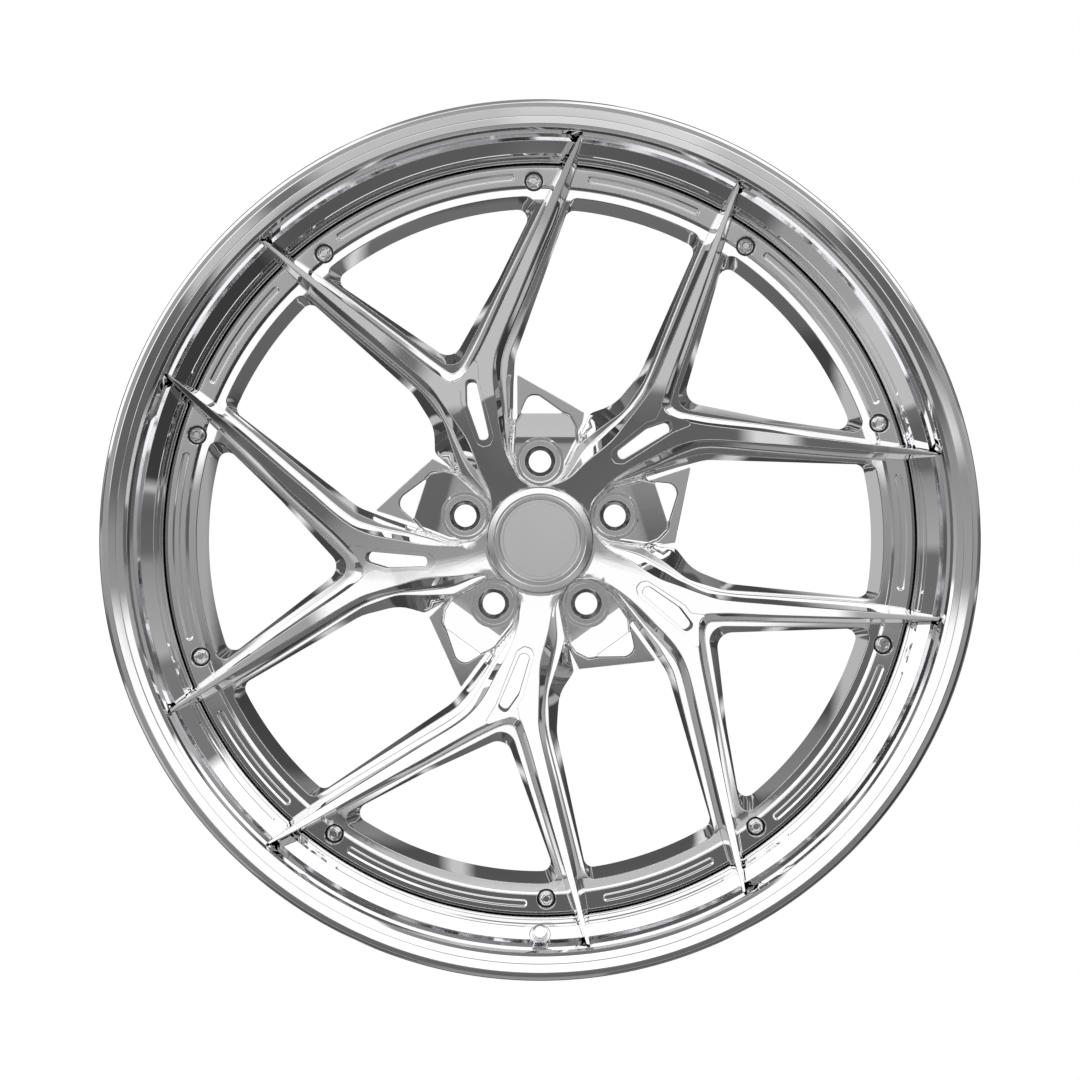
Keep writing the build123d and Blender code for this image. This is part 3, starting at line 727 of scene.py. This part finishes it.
def mesh_object(name, verts, faces, loop_normals=None):
    """Mesh from (x, y, h) in millimetres, placed in the row frame."""
    verts = np.asarray(verts, float)
    placed = np.column_stack([verts[:, 0], -verts[:, 2], verts[:, 1]]) / 1000
    mesh = bpy.data.meshes.new(name)
    mesh.from_pydata(placed.tolist(), [], faces)
    mesh.update()
    mesh.shade_smooth()
    if loop_normals is not None:
        n = np.column_stack([loop_normals[:, 0], -loop_normals[:, 2], loop_normals[:, 1]])
        mesh.normals_split_custom_set(n.tolist())
    return linked(name, mesh)


def linked(name, data):
    """New object in the scene."""
    thing = bpy.data.objects.new(name, data)
    bpy.context.scene.collection.objects.link(thing)
    return thing


# ------------------------------------------------------------- turned pieces


def smooth_profile(points):
    """Closed (radius, height) outline with every corner rounded, and the normal at each point."""
    p = np.array(points, float)
    before = np.linalg.norm(p[:, :2] - np.roll(p[:, :2], 1, 0), axis=1)
    after = np.roll(before, -1)
    u = (np.roll(p[:, :2], 1, 0) - p[:, :2]) / before[:, None]
    v = (np.roll(p[:, :2], -1, 0) - p[:, :2]) / after[:, None]
    half = np.arccos(np.clip((u * v).sum(1), -1, 1)) / 2
    largest = 0.47 * np.minimum(before, after) * np.tan(np.minimum(half, 1.5))
    p[:, 2] = np.minimum(p[:, 2], largest)
    line = rounded(p, 1e9, 14)
    run = np.roll(line, -1, 0) - line
    length = np.linalg.norm(run, axis=1)
    side = np.column_stack([run[:, 1], -run[:, 0]])
    on_axis = (line[:, 0] < 1e-6) & (np.roll(line, -1, 0)[:, 0] < 1e-6)
    side[on_axis] = 0
    weight = (length / (length + 0.02))[:, None] * side
    normal = weight + np.roll(weight, 1, 0)
    return line, normal / np.maximum(np.linalg.norm(normal, axis=1), 1e-9)[:, None]


def lathe(name, points, segments, place=None):
    """Body turned about the wheel axis, or about a local axis that place() carries into position."""
    line, normal = smooth_profile(points)
    a = np.arange(segments) * 2 * math.pi / segments
    count = len(line)

    def swept(p):
        around = [np.outer(np.cos(a), p[:, 0]), np.outer(np.sin(a), p[:, 0])]
        return np.stack([*around, np.tile(p[:, 1], (segments, 1))], 2)

    verts, directions = swept(line), swept(normal)
    axis = line[:, 0] < 1e-6
    faces, loops = [], []
    for j in range(count):
        k = (j + 1) % count
        if axis[j] and axis[k]:
            continue
        for i in range(segments):
            n = (i + 1) % segments
            ring = [(i, j), (n, j), (n, k), (i, k)]
            if axis[j]:
                ring = [(i, j), (n, k), (i, k)]
            elif axis[k]:
                ring = [(i, j), (n, j), (i, k)]
            faces.append([(0 if axis[q] else p) * count + q for p, q in ring])
            loops += [directions[p, q] for p, q in ring]
    verts, loops = verts.reshape(-1, 3), np.array(loops)
    if place:
        verts, loops = place(verts, True), place(loops, False)
    used = np.zeros(len(verts), bool)
    used[[v for f in faces for v in f]] = True
    number = np.cumsum(used) - 1
    return mesh_object(name, verts[used], [[int(number[v]) for v in f] for f in faces], loops)


VALVE_FOOT = (0, -270.25, 76.85)
STEM_RISE, STEM_LEAN = 0.844, 0.537


def at_valve(points, move=True):
    """Carries the valve's own frame (z along its stem) onto the lip's sloping band."""
    x, y, z = points.T
    out = np.column_stack([x, y * STEM_RISE + z * STEM_LEAN, -y * STEM_LEAN + z * STEM_RISE])
    return out + np.array(VALVE_FOOT) * move


# Profiles of the turned pieces as (radius, height, corner radius).
LIP = [
    (236, 49, 0.3), (258.7, 49, 0.3), (258.7, 62.2, 0.4), (259.4, 62.9, 0.3), (260.6, 65.4, 0.4),
    (261.4, 65.9, 0.3), (263.2, 70.6, 0.4), (264, 71.2, 0.3), (265.2, 74.1, 0.5), (273.2, 79.2, 0.8),
    (274.6, 86, 6), (275.6, 94.5, 8), (276.9, 101.4, 4), (278.2, 105, 2), (280.3, 107, 1),
    (284.8, 108, 0.3), (285.1, 107.9, 0.2), (285.4, 108.15, 0.3), (290.6, 109.4, 0.3),
    (291, 109.15, 0.3), (294, 109.3, 0.8), (295.7, 108.5, 0.8), (296.5, 106.9, 1), (296.5, 103.2, 1),
    (295.4, 101.6, 1), (293, 100.35, 1), (286.4, 99.6, 3), (283, 98.2, 3), (280.4, 95.6, 3),
    (279.1, 91.5, 3), (277.7, 79, 2), (276.6, 74.9, 2), (267.3, 68.8, 3), (265.4, 62, 3),
    (265, 43, 0.4), (236, 43, 0.4),
]
BARREL = [
    (236, 43, 0.4), (262, 43, 0.4), (262, -108, 4), (264, -113, 6), (274, -128, 6), (277, -133.5, 6),
    (278.7, -138, 3), (278.7, -141, 2), (277.6, -145, 3), (279.1, -159.5, 3), (279.8, -162.6, 3),
    (282.2, -165.2, 3), (285.7, -166.35, 3), (293, -166.35, 1), (295.4, -167.6, 1),
    (296.5, -169.2, 1), (296.5, -171.5, 2), (295, -174.5, 3), (291, -176.6, 4), (287, -177, 3),
    (281, -175.2, 4), (275.5, -171, 4), (273.4, -165, 6), (272, -146, 10), (271, -136, 8),
    (259.4, -117, 6), (257.4, -109, 6), (257.4, 33, 1), (255.4, 36, 1), (236, 36, 0.4),
]
CAP_BODY = [
    (0, 49.4, 0), (31.4, 49.4, 0.2), (31.4, 37, 0.2), (33.2, 37, 0.3), (34.12, 38.2, 0.3),
    (34.12, 41, 0.1), (32.4, 41, 0.1), (32.4, 43.6, 0.1), (34.12, 43.6, 0.1), (34.12, 49.1, 0.1),
    (37.1, 49.1, 0.15), (37.1, 51.7, 0.5), (36.2, 53, 0.6), (32.2, 53.9, 0.35), (31.7, 53.5, 0.15),
    (31.1, 53.5, 0.15), (30.6, 53.9, 0.2), (28.8, 53.9, 0.35), (28.1, 53.1, 0.1), (28.1, 51.4, 0.1),
    (0, 51.4, 0),
]
CAP_FACE = [
    (0, 51.4, 0), (28.05, 51.4, 0.1), (28.05, 52.7, 0.25), (27.6, 53, 0.2), (25.9, 53, 0.1),
    (25.7, 52.7, 0.1), (25.4, 52.7, 0.1), (25.2, 53, 0.1), (0, 53, 0),
]
# The stem's heights are along its own axis, from the lip's band.
STEM = [
    (1.5, -15, 0.2), (3.6, -15, 0.2), (4.05, -14.5, 0.2), (4.05, 0, 0.1), (7.2, 0, 0.2),
    (7.2, 0.8, 0.3), (6.8, 1.2, 0.3), (3.85, 1.2, 0.3), (3.85, 5.2, 0.2), (3.5, 5.6, 0.2),
    (2.6, 5.6, 0.2), (2.6, -8, 0.2), (2.3, -8, 0.1), (2.3, -12, 0.1), (1.5, -12, 0.1),
]


def hoop_faces(hoops, count, start, wrap=False):
    """Faces between hoops of count points: capped at both ends, or wrapped from last to first."""
    faces = []
    if not wrap:
        faces.append([start + i for i in range(count)])
        faces.append([start + hoops * count - 1 - i for i in range(count)])
    for j in range(hoops - 1 + wrap):
        low, high = start + j * count, start + (j + 1) % hoops * count
        for i in range(count):
            n = (i + 1) % count
            faces.append([low + i, high + i, high + n, low + n])
    return faces


def stack(name, rings, places, sharp=22, bored=False):
    """Body made of rings (radius at each angle, height) from its top down, copied to each place."""
    count = max(np.size(r) for r, h in rings)
    a = np.arange(count) * 2 * math.pi / count
    local = np.vstack([np.column_stack([r * np.cos(a), r * np.sin(a), h + 0 * a]) for r, h in rings])
    faces = []
    for k in range(len(places)):
        faces += hoop_faces(len(rings), count, k * len(local), bored)
    return sharp_edged(mesh_object(name, np.vstack([place(local) for place in places]), faces), sharp)


def sharp_edged(thing, degrees):
    thing.data.set_sharp_from_angle(angle=math.radians(degrees))
    return thing


def hexagon(count):
    """Radius of a six-sided outline with unit distance from centre to flat."""
    a = np.arange(count) * 2 * math.pi / count
    return 1 / np.cos((a + math.pi / 6) % (math.pi / 3) - math.pi / 6)


def at_bolt(angle):
    """Carries points from the wheel's axis out to a ring bolt."""
    return lambda p: p @ about_axis(angle) + (*polar(BOLT_RADIUS, angle), 0)


def bolt_mesh():
    """Flanged hexagon bolts with a dimple in each head."""
    six = hexagon(72)
    rings = [(0.02, 60.9), (2.1, 60.9), (2.45, 61.05), (2.7, 61.7), (2.9, 61.8)]
    rings += [(3.15 * six, 61.8), (4 * six, 61.45), (4.05 * six, 61.3), (4.05 * six, 57.5)]
    rings += [(np.maximum(4.15 * six, 4.85), 57.35), (5.05, 57.2), (5.2, 56.9), (5.2, 56)]
    rings += [(2.95, 56), (2.95, 26.9), (2.3, 26.2), (0.02, 26.2)]
    places = [at_bolt(a + PITCH * k) for k in range(5) for a in BOLT_ANGLES]
    return stack("ring_bolts", rings, places)


def valve_cap_mesh():
    """Fluted cap with a plain bore over the nipple."""
    radius, flutes, cutter = 5.2, 24, 0.32
    pitch = 360 / flutes
    across = (radius + 0.15) * np.sin(np.radians((np.arange(240) * 1.5 + pitch / 2) % pitch - pitch / 2))
    groove = radius - np.sqrt(np.maximum(cutter**2 - across**2, 0))
    side = np.where(np.abs(across) < 0.3, np.minimum(groove, radius), radius)
    rings = [(0.02, 6.82), (3.3, 6.82), (3.4, 6.9), (4.5, 6.9), (4.85, 6.75), (5.1, 6.5), (radius, 6.25)]
    rings += [(radius, 6.1), (side, 5.9), (side, 2.5), (radius, 2.3), (radius, 2), (5.1, 1.8), (4.85, 1.7)]
    rings += [(4, 1.7), (3.93, 1.75), (3.93, 5.85), (3.9, 5.9), (0.02, 5.9)]
    return stack("valve_cap_shape", rings, [at_valve], 28)


def valve_nut_mesh():
    """Hexagon nut behind the lip, chamfered on both faces."""
    bore, chamfer, flat = 4.12, 5.2, 5.5 * hexagon(72)
    rings = [(bore, -11.6), (bore, -8.1), (chamfer, -8.1), (flat, -8.4), (flat, -11.3), (chamfer, -11.6)]
    return stack("valve_nut_shape", rings, [at_valve], bored=True)


def spring_mesh():
    """Round-wire coil around the core pin."""
    length, pitch, coil, wire, foot, sides = 7.5, 1.3, 1.18, 0.2, -6.65, 16
    turn = np.linspace(0, length / pitch * 2 * math.pi, 300)[:, None]
    around = (np.arange(sides) * 2 * math.pi / sides)[None, :]
    radius = coil + wire * np.cos(around)
    rise = foot + pitch * turn / (2 * math.pi) + wire * np.sin(around)
    verts = np.stack([radius * np.cos(turn), radius * np.sin(turn), rise], 2).reshape(-1, 3)
    faces = hoop_faces(len(turn), sides, 0)
    return sharp_edged(mesh_object("valve_spring", at_valve(verts), faces), 40)


def valve_seat(lip):
    """Cuts the valve's hole and spotface into the lip."""
    hole, spotface = 4.15, 7.5
    rings = [(0.02, 9), (spotface, 9), (spotface, 0.2), (7.3, 0), (4.35, 0), (hole, -0.2)]
    rings += [(hole, -12), (0.02, -12)]
    cutter = stack("cutter", [(r * np.ones(96), h) for r, h in rings], [at_valve])
    change = lip.modifiers.new("valve_seat", "BOOLEAN")
    change.object = cutter
    change.solver = "EXACT"
    bpy.context.view_layer.update()
    lip.data = bpy.data.meshes.new_from_object(lip.evaluated_get(bpy.context.evaluated_depsgraph_get()))
    lip.modifiers.clear()
    bpy.data.objects.remove(cutter)
    shade_turned(lip.data, LIP)
    return lip


def shade_turned(mesh, profile):
    """Turned shading where the mesh follows the profile, and flat shading on what was cut into it."""
    vertex, polygon = np.zeros(len(mesh.loops), int), np.zeros(len(mesh.loops), int)
    mesh.loops.foreach_get("vertex_index", vertex)
    for face in mesh.polygons:
        polygon[face.loop_start : face.loop_start + face.loop_total] = face.index
    place, flat = np.zeros(len(mesh.vertices) * 3), np.zeros(len(mesh.polygons) * 3)
    mesh.vertices.foreach_get("co", place)
    mesh.polygons.foreach_get("normal", flat)
    place, flat = place.reshape(-1, 3) * 1000, flat.reshape(-1, 3)[polygon]
    radius = np.hypot(place[:, 0], place[:, 2])
    line, normal = smooth_profile(profile)
    line = line[:, :2]
    spot = np.column_stack([radius, -place[:, 1]])
    i, share, distance = nearest_on(spot, line, np.roll(line, -1, 0) - line)
    n = unit(normal[i] * (1 - share) + np.roll(normal, -1, 0)[i] * share)
    out = place / radius[:, None]
    smooth = np.column_stack([out[:, 0] * n[:, 0], -n[:, 1], out[:, 2] * n[:, 0]])[vertex]
    same = (distance[vertex] < 0.01) & ((smooth * flat).sum(1) > 0.8)
    mesh.shade_smooth()
    mesh.normals_split_custom_set(np.where(same[:, None], smooth, flat).tolist())


# ---------------------------------------------------------------- materials


class Shader:
    """Small helper that adds nodes and joins them."""

    def __init__(self, tree):
        self.tree = tree
        tree.nodes.clear()

    def add(self, kind, inputs=(), **settings):
        node = self.tree.nodes.new("ShaderNode" + kind)
        for key, value in settings.items():
            setattr(node, key, value)
        for key, value in dict(inputs).items():
            if isinstance(value, bpy.types.NodeSocket):
                self.tree.links.new(value, node.inputs[key])
            else:
                node.inputs[key].default_value = value
        return node

    def math(self, kind, a, b=0.0):
        return self.add("Math", {0: a, 1: b}, operation=kind).outputs[0]

    def span(self, value, low, high, to_low, to_high):
        inputs = {"Value": value, "From Min": low, "From Max": high, "To Min": to_low, "To Max": to_high}
        return self.add("MapRange", inputs).outputs["Result"]

    def noise(self, vector, scale, detail=3.0, roughness=0.5):
        inputs = {"Vector": vector, "Scale": scale, "Detail": detail, "Roughness": roughness}
        return self.add("TexNoise", inputs).outputs["Fac"]

    def both(self, a, b):
        return self.math("MULTIPLY", a, b)

    def between(self, value, low, high):
        return self.both(self.math("GREATER_THAN", value, low), self.math("LESS_THAN", value, high))

    def camera_sees(self, seen, other, output):
        """Shows one surface to the camera and the other to every other ray."""
        share = self.add("LightPath").outputs["Is Camera Ray"]
        self.add(output, {"Surface": self.add("MixShader", {0: share, 1: other, 2: seen}).outputs[0]})

    def mix(self, share, first, second):
        return self.add("MixRGB", {"Fac": share, "Color1": first, "Color2": second}).outputs[0]


def blank_material(name):
    """New material and the helper for its empty node tree."""
    material = bpy.data.materials.new(name)
    material.use_nodes = True
    return material, Shader(material.node_tree)


def wheel_coordinates(sh):
    """Radius, angle and depth about the wheel axis, in metres and radians."""
    place = sh.add("TexCoord").outputs["Object"]
    parts = sh.add("SeparateXYZ", {"Vector": place}).outputs
    square = sh.math("ADD", sh.both(parts["X"], parts["X"]), sh.both(parts["Z"], parts["Z"]))
    return sh.math("SQRT", square), sh.math("ARCTAN2", parts["Z"], parts["X"]), parts["Y"], place


def painted_shade_tint(sh, radius, depth, color):
    """The metal's colour with painted shade: dark to the camera only, in the gap beside the lip and in the
    bolt recesses.
    """
    gap_inner, gap_outer, gap_depth = 0.25697, 0.2596, -0.0632
    recess_inner, recess_outer, recess_depth = 0.2412, 0.257, -0.0588
    gap = sh.both(sh.between(radius, gap_inner, gap_outer), sh.math("GREATER_THAN", depth, gap_depth))
    recess = sh.between(radius, recess_inner, recess_outer)
    recess = sh.both(recess, sh.math("GREATER_THAN", depth, recess_depth))
    # Painted shade: near-black colour in the gap and the recesses, shown to camera rays only.
    painted_shade_share = sh.math("MAXIMUM", gap, sh.both(recess, 0.93))
    painted_shade_share = sh.both(painted_shade_share, sh.add("LightPath").outputs["Is Camera Ray"])
    return sh.mix(painted_shade_share, color, (0.008, 0.008, 0.008, 1))


def metal(name, color, roughness, swing, turned_marks=0.0, brushed_hub=0.0, grain=0.0, painted_shade=False):
    """Metal whose roughness wanders a little, with optional lathe marks, hub brushing, cast grain or painted
    shade in the lip gap and bolt recesses.
    """
    material, sh = blank_material(name)
    radius, angle, depth, place = wheel_coordinates(sh)
    cloud = sh.noise(place, 14, 4)
    fine = sh.noise(place, 900, 2)
    rough = sh.span(cloud, 0.3, 0.7, max(roughness - swing, 0.01), roughness + swing)
    height = sh.both(fine, grain)
    if turned_marks:
        rings = {"X": radius, "Y": depth, "Z": sh.both(angle, 0.004)}
        marks = sh.noise(sh.add("CombineXYZ", rings).outputs[0], 1800, 2, 0.7)
        height = sh.math("ADD", height, sh.both(marks, turned_marks))
        rough = sh.math("ADD", rough, sh.both(marks, turned_marks * 0.1))
    if brushed_hub:
        rays = {"X": angle, "Y": sh.both(radius, 3.0)}
        streaks = sh.noise(sh.add("CombineXYZ", rays).outputs[0], 26, 5, 0.6)
        near = sh.span(radius, 0.05, 0.12, brushed_hub, 0.0)
        height = sh.math("ADD", height, sh.both(streaks, near))
    inputs = {"Height": height, "Strength": 0.35, "Distance": 0.001}
    bump = sh.add("Bump", inputs).outputs["Normal"]
    tint = (*color, 1)
    # Painted shade in the gap beside the lip and in the bolt recesses, for camera rays only.
    if painted_shade:
        tint = painted_shade_tint(sh, radius, depth, tint)
    inputs = {"Base Color": tint, "Metallic": 1.0, "Roughness": rough, "Normal": bump}
    body = sh.add("BsdfPrincipled", inputs).outputs["BSDF"]
    sh.add("OutputMaterial", {"Surface": body})
    return material


def rubber(name, color):
    """Matt rubber with a faint mottle."""
    material, sh = blank_material(name)
    place = sh.add("TexCoord").outputs["Object"]
    cloud = sh.noise(place, 300, 4)
    rough = sh.span(cloud, 0.3, 0.7, 0.55, 0.8)
    bump = sh.add("Bump", {"Height": cloud, "Strength": 0.3, "Distance": 0.0002}).outputs["Normal"]
    inputs = {"Base Color": (*color, 1), "Roughness": rough, "Normal": bump}
    sh.add("OutputMaterial", {"Surface": sh.add("BsdfPrincipled", inputs).outputs["BSDF"]})
    return material


METALS = {
    "polished_disc": dict(color=(0.9, 0.9, 0.905), roughness=0.03, swing=0.01, brushed_hub=0.02, painted_shade=True),
    "polished_lip": dict(color=(0.9, 0.9, 0.91), roughness=0.03, swing=0.01, turned_marks=0.004, painted_shade=True),
    "barrel_metal": dict(color=(0.6, 0.6, 0.61), roughness=0.22, swing=0.05, turned_marks=0.06),
    "fastener_steel": dict(color=(0.75, 0.75, 0.76), roughness=0.14, swing=0.04, grain=0.02),
    "cap_satin": dict(color=(0.78, 0.78, 0.78), roughness=0.36, swing=0.03, grain=0.03),
    "cap_polished": dict(color=(0.82, 0.82, 0.83), roughness=0.2, swing=0.03, turned_marks=0.01),
    "valve_metal": dict(color=(0.85, 0.85, 0.86), roughness=0.1, swing=0.03),
    "core_brass": dict(color=(0.72, 0.55, 0.28), roughness=0.25, swing=0.05, grain=0.02),
    "spring_steel": dict(color=(0.6, 0.6, 0.62), roughness=0.3, swing=0.05, grain=0.02),
}
RUBBERS = {"seal_rubber": (0.03, 0.03, 0.03), "sealant": (0.1, 0.1, 0.11)}
finishes = {name: metal(name, **look) for name, look in METALS.items()}
finishes.update({name: rubber(name, color) for name, color in RUBBERS.items()})


def dress(thing, slot):
    """Gives a piece one of the finishes."""
    thing.data.materials.clear()
    thing.data.materials.append(finishes[slot])


def finish(thing, body, slot, *nodes):
    """Dresses a piece and puts it on its body in place of its CAD nodes."""
    dress(thing, slot)
    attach(thing, body)
    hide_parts(*nodes)


finish(build_disc(), "wheel", "polished_disc", "center_disc")
finish(valve_seat(lathe("lip_shape", LIP, 540)), "wheel", "polished_lip", "outer_lip")
finish(lathe("barrel_shape", BARREL, 540), "wheel", "barrel_metal", "inner_barrel")
finish(bolt_mesh(), "wheel", "fastener_steel", "assembly_bolts")
finish(lathe("cap_shell", CAP_BODY, 240), "center_cap", "cap_polished", "center_cap_body")
finish(lathe("cap_plate", CAP_FACE, 240), "center_cap", "cap_satin", "center_cap_face")
finish(lathe("valve_stem_shape", STEM, 96, at_valve), "wheel", "valve_metal", "valve_stem")
finish(valve_nut_mesh(), "wheel", "valve_metal", "valve_nut")
finish(valve_cap_mesh(), "valve_cap", "valve_metal", "valve_cap")
spring = spring_mesh()
finish(spring, "wheel", "spring_steel", "valve_core_spring")
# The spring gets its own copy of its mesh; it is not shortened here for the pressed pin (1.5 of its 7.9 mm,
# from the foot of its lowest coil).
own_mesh(spring)

# Pieces shown as their CAD meshes.
CARRIED = {
    "sealant": ("rim_seal",),
    "fastener_steel": ("assembly_washers", "assembly_nuts", "valve_washer"),
    "seal_rubber": (
        "center_cap_o_ring", "valve_grommet", "valve_core_body_seal", "valve_core_pin_seal",
        "valve_cap_seal",
    ),
    "core_brass": ("valve_core_body", "valve_core_pin"),
}
for slot, names in CARRIED.items():
    for name in names:
        dress(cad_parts[name], slot)

# ------------------------------------------------------------ light and view

# Brightness of the room by elevation, as (degrees above the horizon, brightness).
FRONT_SKY = (
    (-90, 0.35), (-76, 0.3), (-66, 0.12), (-46, 0.09), (-38, 0.12), (-36, 0.33), (-25, 0.38),
    (-23.5, 0.56), (-12.1, 0.56), (-11.3, 0.17), (-9, 0.12), (-4, 0.14), (-2.5, 0.28), (0, 0.33),
    (8, 0.42), (12.5, 0.5), (14, 1.25), (58, 1.25), (61, 0.3), (90, 0.18),
)
BACK_SKY = (
    (-90, 0.35), (-70, 0.2), (-52, 0.06), (-38, 0.05), (-36, 0.16), (-18, 0.12), (-16, 0.06),
    (-4, 0.05), (-2, 0.14), (9, 0.12), (11, 0.05), (20, 0.07), (22, 0.2), (28, 0.24), (30, 0.08),
    (44, 0.12), (46, 0.55), (56, 0.6), (58, 0.2), (90, 0.18),
)
# Soft panels on the unit sphere: (x low, x high, z low, z high, brightness).
FRONT_PANELS = (
    (0.4, 0.92, -0.6, -0.12, 0.045), (0.64, 1, 0.25, 0.47, 0.2), (-0.9, -0.62, 0.02, 0.17, 0.16),
    (0.47, 0.53, -0.5, -0.16, 0.5), (-0.5, -0.42, -0.42, -0.2, 0.1), (0.16, 0.2, -0.36, -0.22, 0.18),
    (-0.34, 0.13, -1, -0.84, 0.3), (-0.12, 0.02, -0.3, -0.235, 0.75), (-0.34, -0.28, -0.24, -0.06, 0.75),
)
BACK_PANELS = (
    (-0.6, -0.5, -0.3, 0.9, 0.5), (-0.3, -0.27, -0.9, 0.9, 0.8), (0.12, 0.16, 0.05, 0.9, 0.6),
    (0.3, 0.33, -0.9, 0.3, 0.7), (0.55, 0.62, -0.2, 0.8, 0.4), (-0.2, 0.2, -0.3, -0.26, 0.6),
)
SOFT_BOX = (-0.4, 0.3, 0.045, 0.26, 1.1)


def sky(sh, up, stops):
    """Brightness for a direction whose height on the unit sphere is up."""
    node = sh.add("ValToRGB", {"Fac": sh.span(up, -1, 1, 0, 1)})
    marks = node.color_ramp.elements
    while len(marks) < len(stops):
        marks.new(0.5)
    for mark, (degrees, value) in zip(marks, stops):
        mark.position = (math.sin(math.radians(degrees)) + 1) / 2
        mark.color = (value, value, value, 1)
    return node.outputs["Color"]


def panel(sh, parts, low_x, high_x, low_z, high_z):
    """Share of a soft-edged rectangle in a direction."""

    def within(value, low, high, soft=0.012):
        rise = sh.span(value, low - soft, low + soft, 0.0, 1.0)
        return sh.both(rise, sh.span(value, high - soft, high + soft, 1.0, 0.0))

    return sh.both(within(parts["X"], low_x, high_x), within(parts["Z"], low_z, high_z))


def studio():
    """Room that light and reflections see; to the camera the background is white."""
    world = bpy.data.worlds.new("studio")
    bpy.context.scene.world = world
    world.use_nodes = True
    sh = Shader(world.node_tree)
    direction = sh.add("TexCoord").outputs["Generated"]
    parts = sh.add("SeparateXYZ", {"Vector": direction}).outputs
    wobble = sh.span(sh.noise(direction, 2.2, 3), 0.3, 0.7, -0.015, 0.015)
    up = sh.math("ADD", sh.math("ADD", parts["Z"], sh.both(parts["X"], -0.12)), wobble)
    behind = sh.span(parts["Y"], -0.06, 0.06, 0.0, 1.0)
    ahead = sh.math("SUBTRACT", 1.0, behind)
    room = sh.mix(behind, sky(sh, up, FRONT_SKY), sky(sh, up, BACK_SKY))
    for side, panels in ((ahead, FRONT_PANELS), (behind, BACK_PANELS)):
        for *edges, value in panels:
            room = sh.mix(sh.both(panel(sh, parts, *edges), side), room, (value, value, value, 1))
    # The soft box in front of the wheel has a round opening where the lens looks through.
    *edges, value = SOFT_BOX
    off_lens = sh.add("VectorMath", {0: direction, 1: (0, -1, 0)}, operation="DISTANCE").outputs["Value"]
    box = sh.both(panel(sh, parts, *edges), sh.span(off_lens, 0.148, 0.158, 0.0, 1.0))
    room = sh.mix(sh.both(box, ahead), room, (value, value, value, 1))
    lit = sh.add("Background", {"Color": room, "Strength": 1.0}).outputs[0]
    seen = sh.add("Background", {"Color": (1, 1, 1, 1), "Strength": 1.0}).outputs[0]
    sh.camera_sees(seen, lit, "OutputWorld")


def pale_floor():
    """Wide floor just under the wheel, left out of mirror reflections."""
    reach, level = 4, -0.298
    mesh = bpy.data.meshes.new("floor")
    corners = [(-reach, -reach, level), (reach, -reach, level), (reach, reach, level), (-reach, reach, level)]
    mesh.from_pydata(corners, [], [(0, 1, 2, 3)])
    floor = linked("floor", mesh)
    floor.visible_glossy = False
    pale, sh = blank_material("pale_floor")
    matt = sh.add("BsdfPrincipled", {"Base Color": (0.9, 0.9, 0.9, 1), "Roughness": 0.9}).outputs["BSDF"]
    bright = sh.add("Emission", {"Color": (1, 1, 1, 1), "Strength": 1.0}).outputs[0]
    sh.camera_sees(bright, matt, "OutputMaterial")
    mesh.materials.append(pale)


def front_camera():
    """Lens on the wheel's axis."""
    distance, field = 1.811, 24.06
    data = bpy.data.cameras.new("camera")
    camera = linked("camera", data)
    camera.location = (0, -distance, 0)
    camera.rotation_euler = (math.radians(90), 0, 0)
    data.angle = math.radians(field)
    bpy.context.scene.camera = camera
    bpy.context.scene.view_settings.view_transform = "Standard"


studio()
pale_floor()
front_camera()
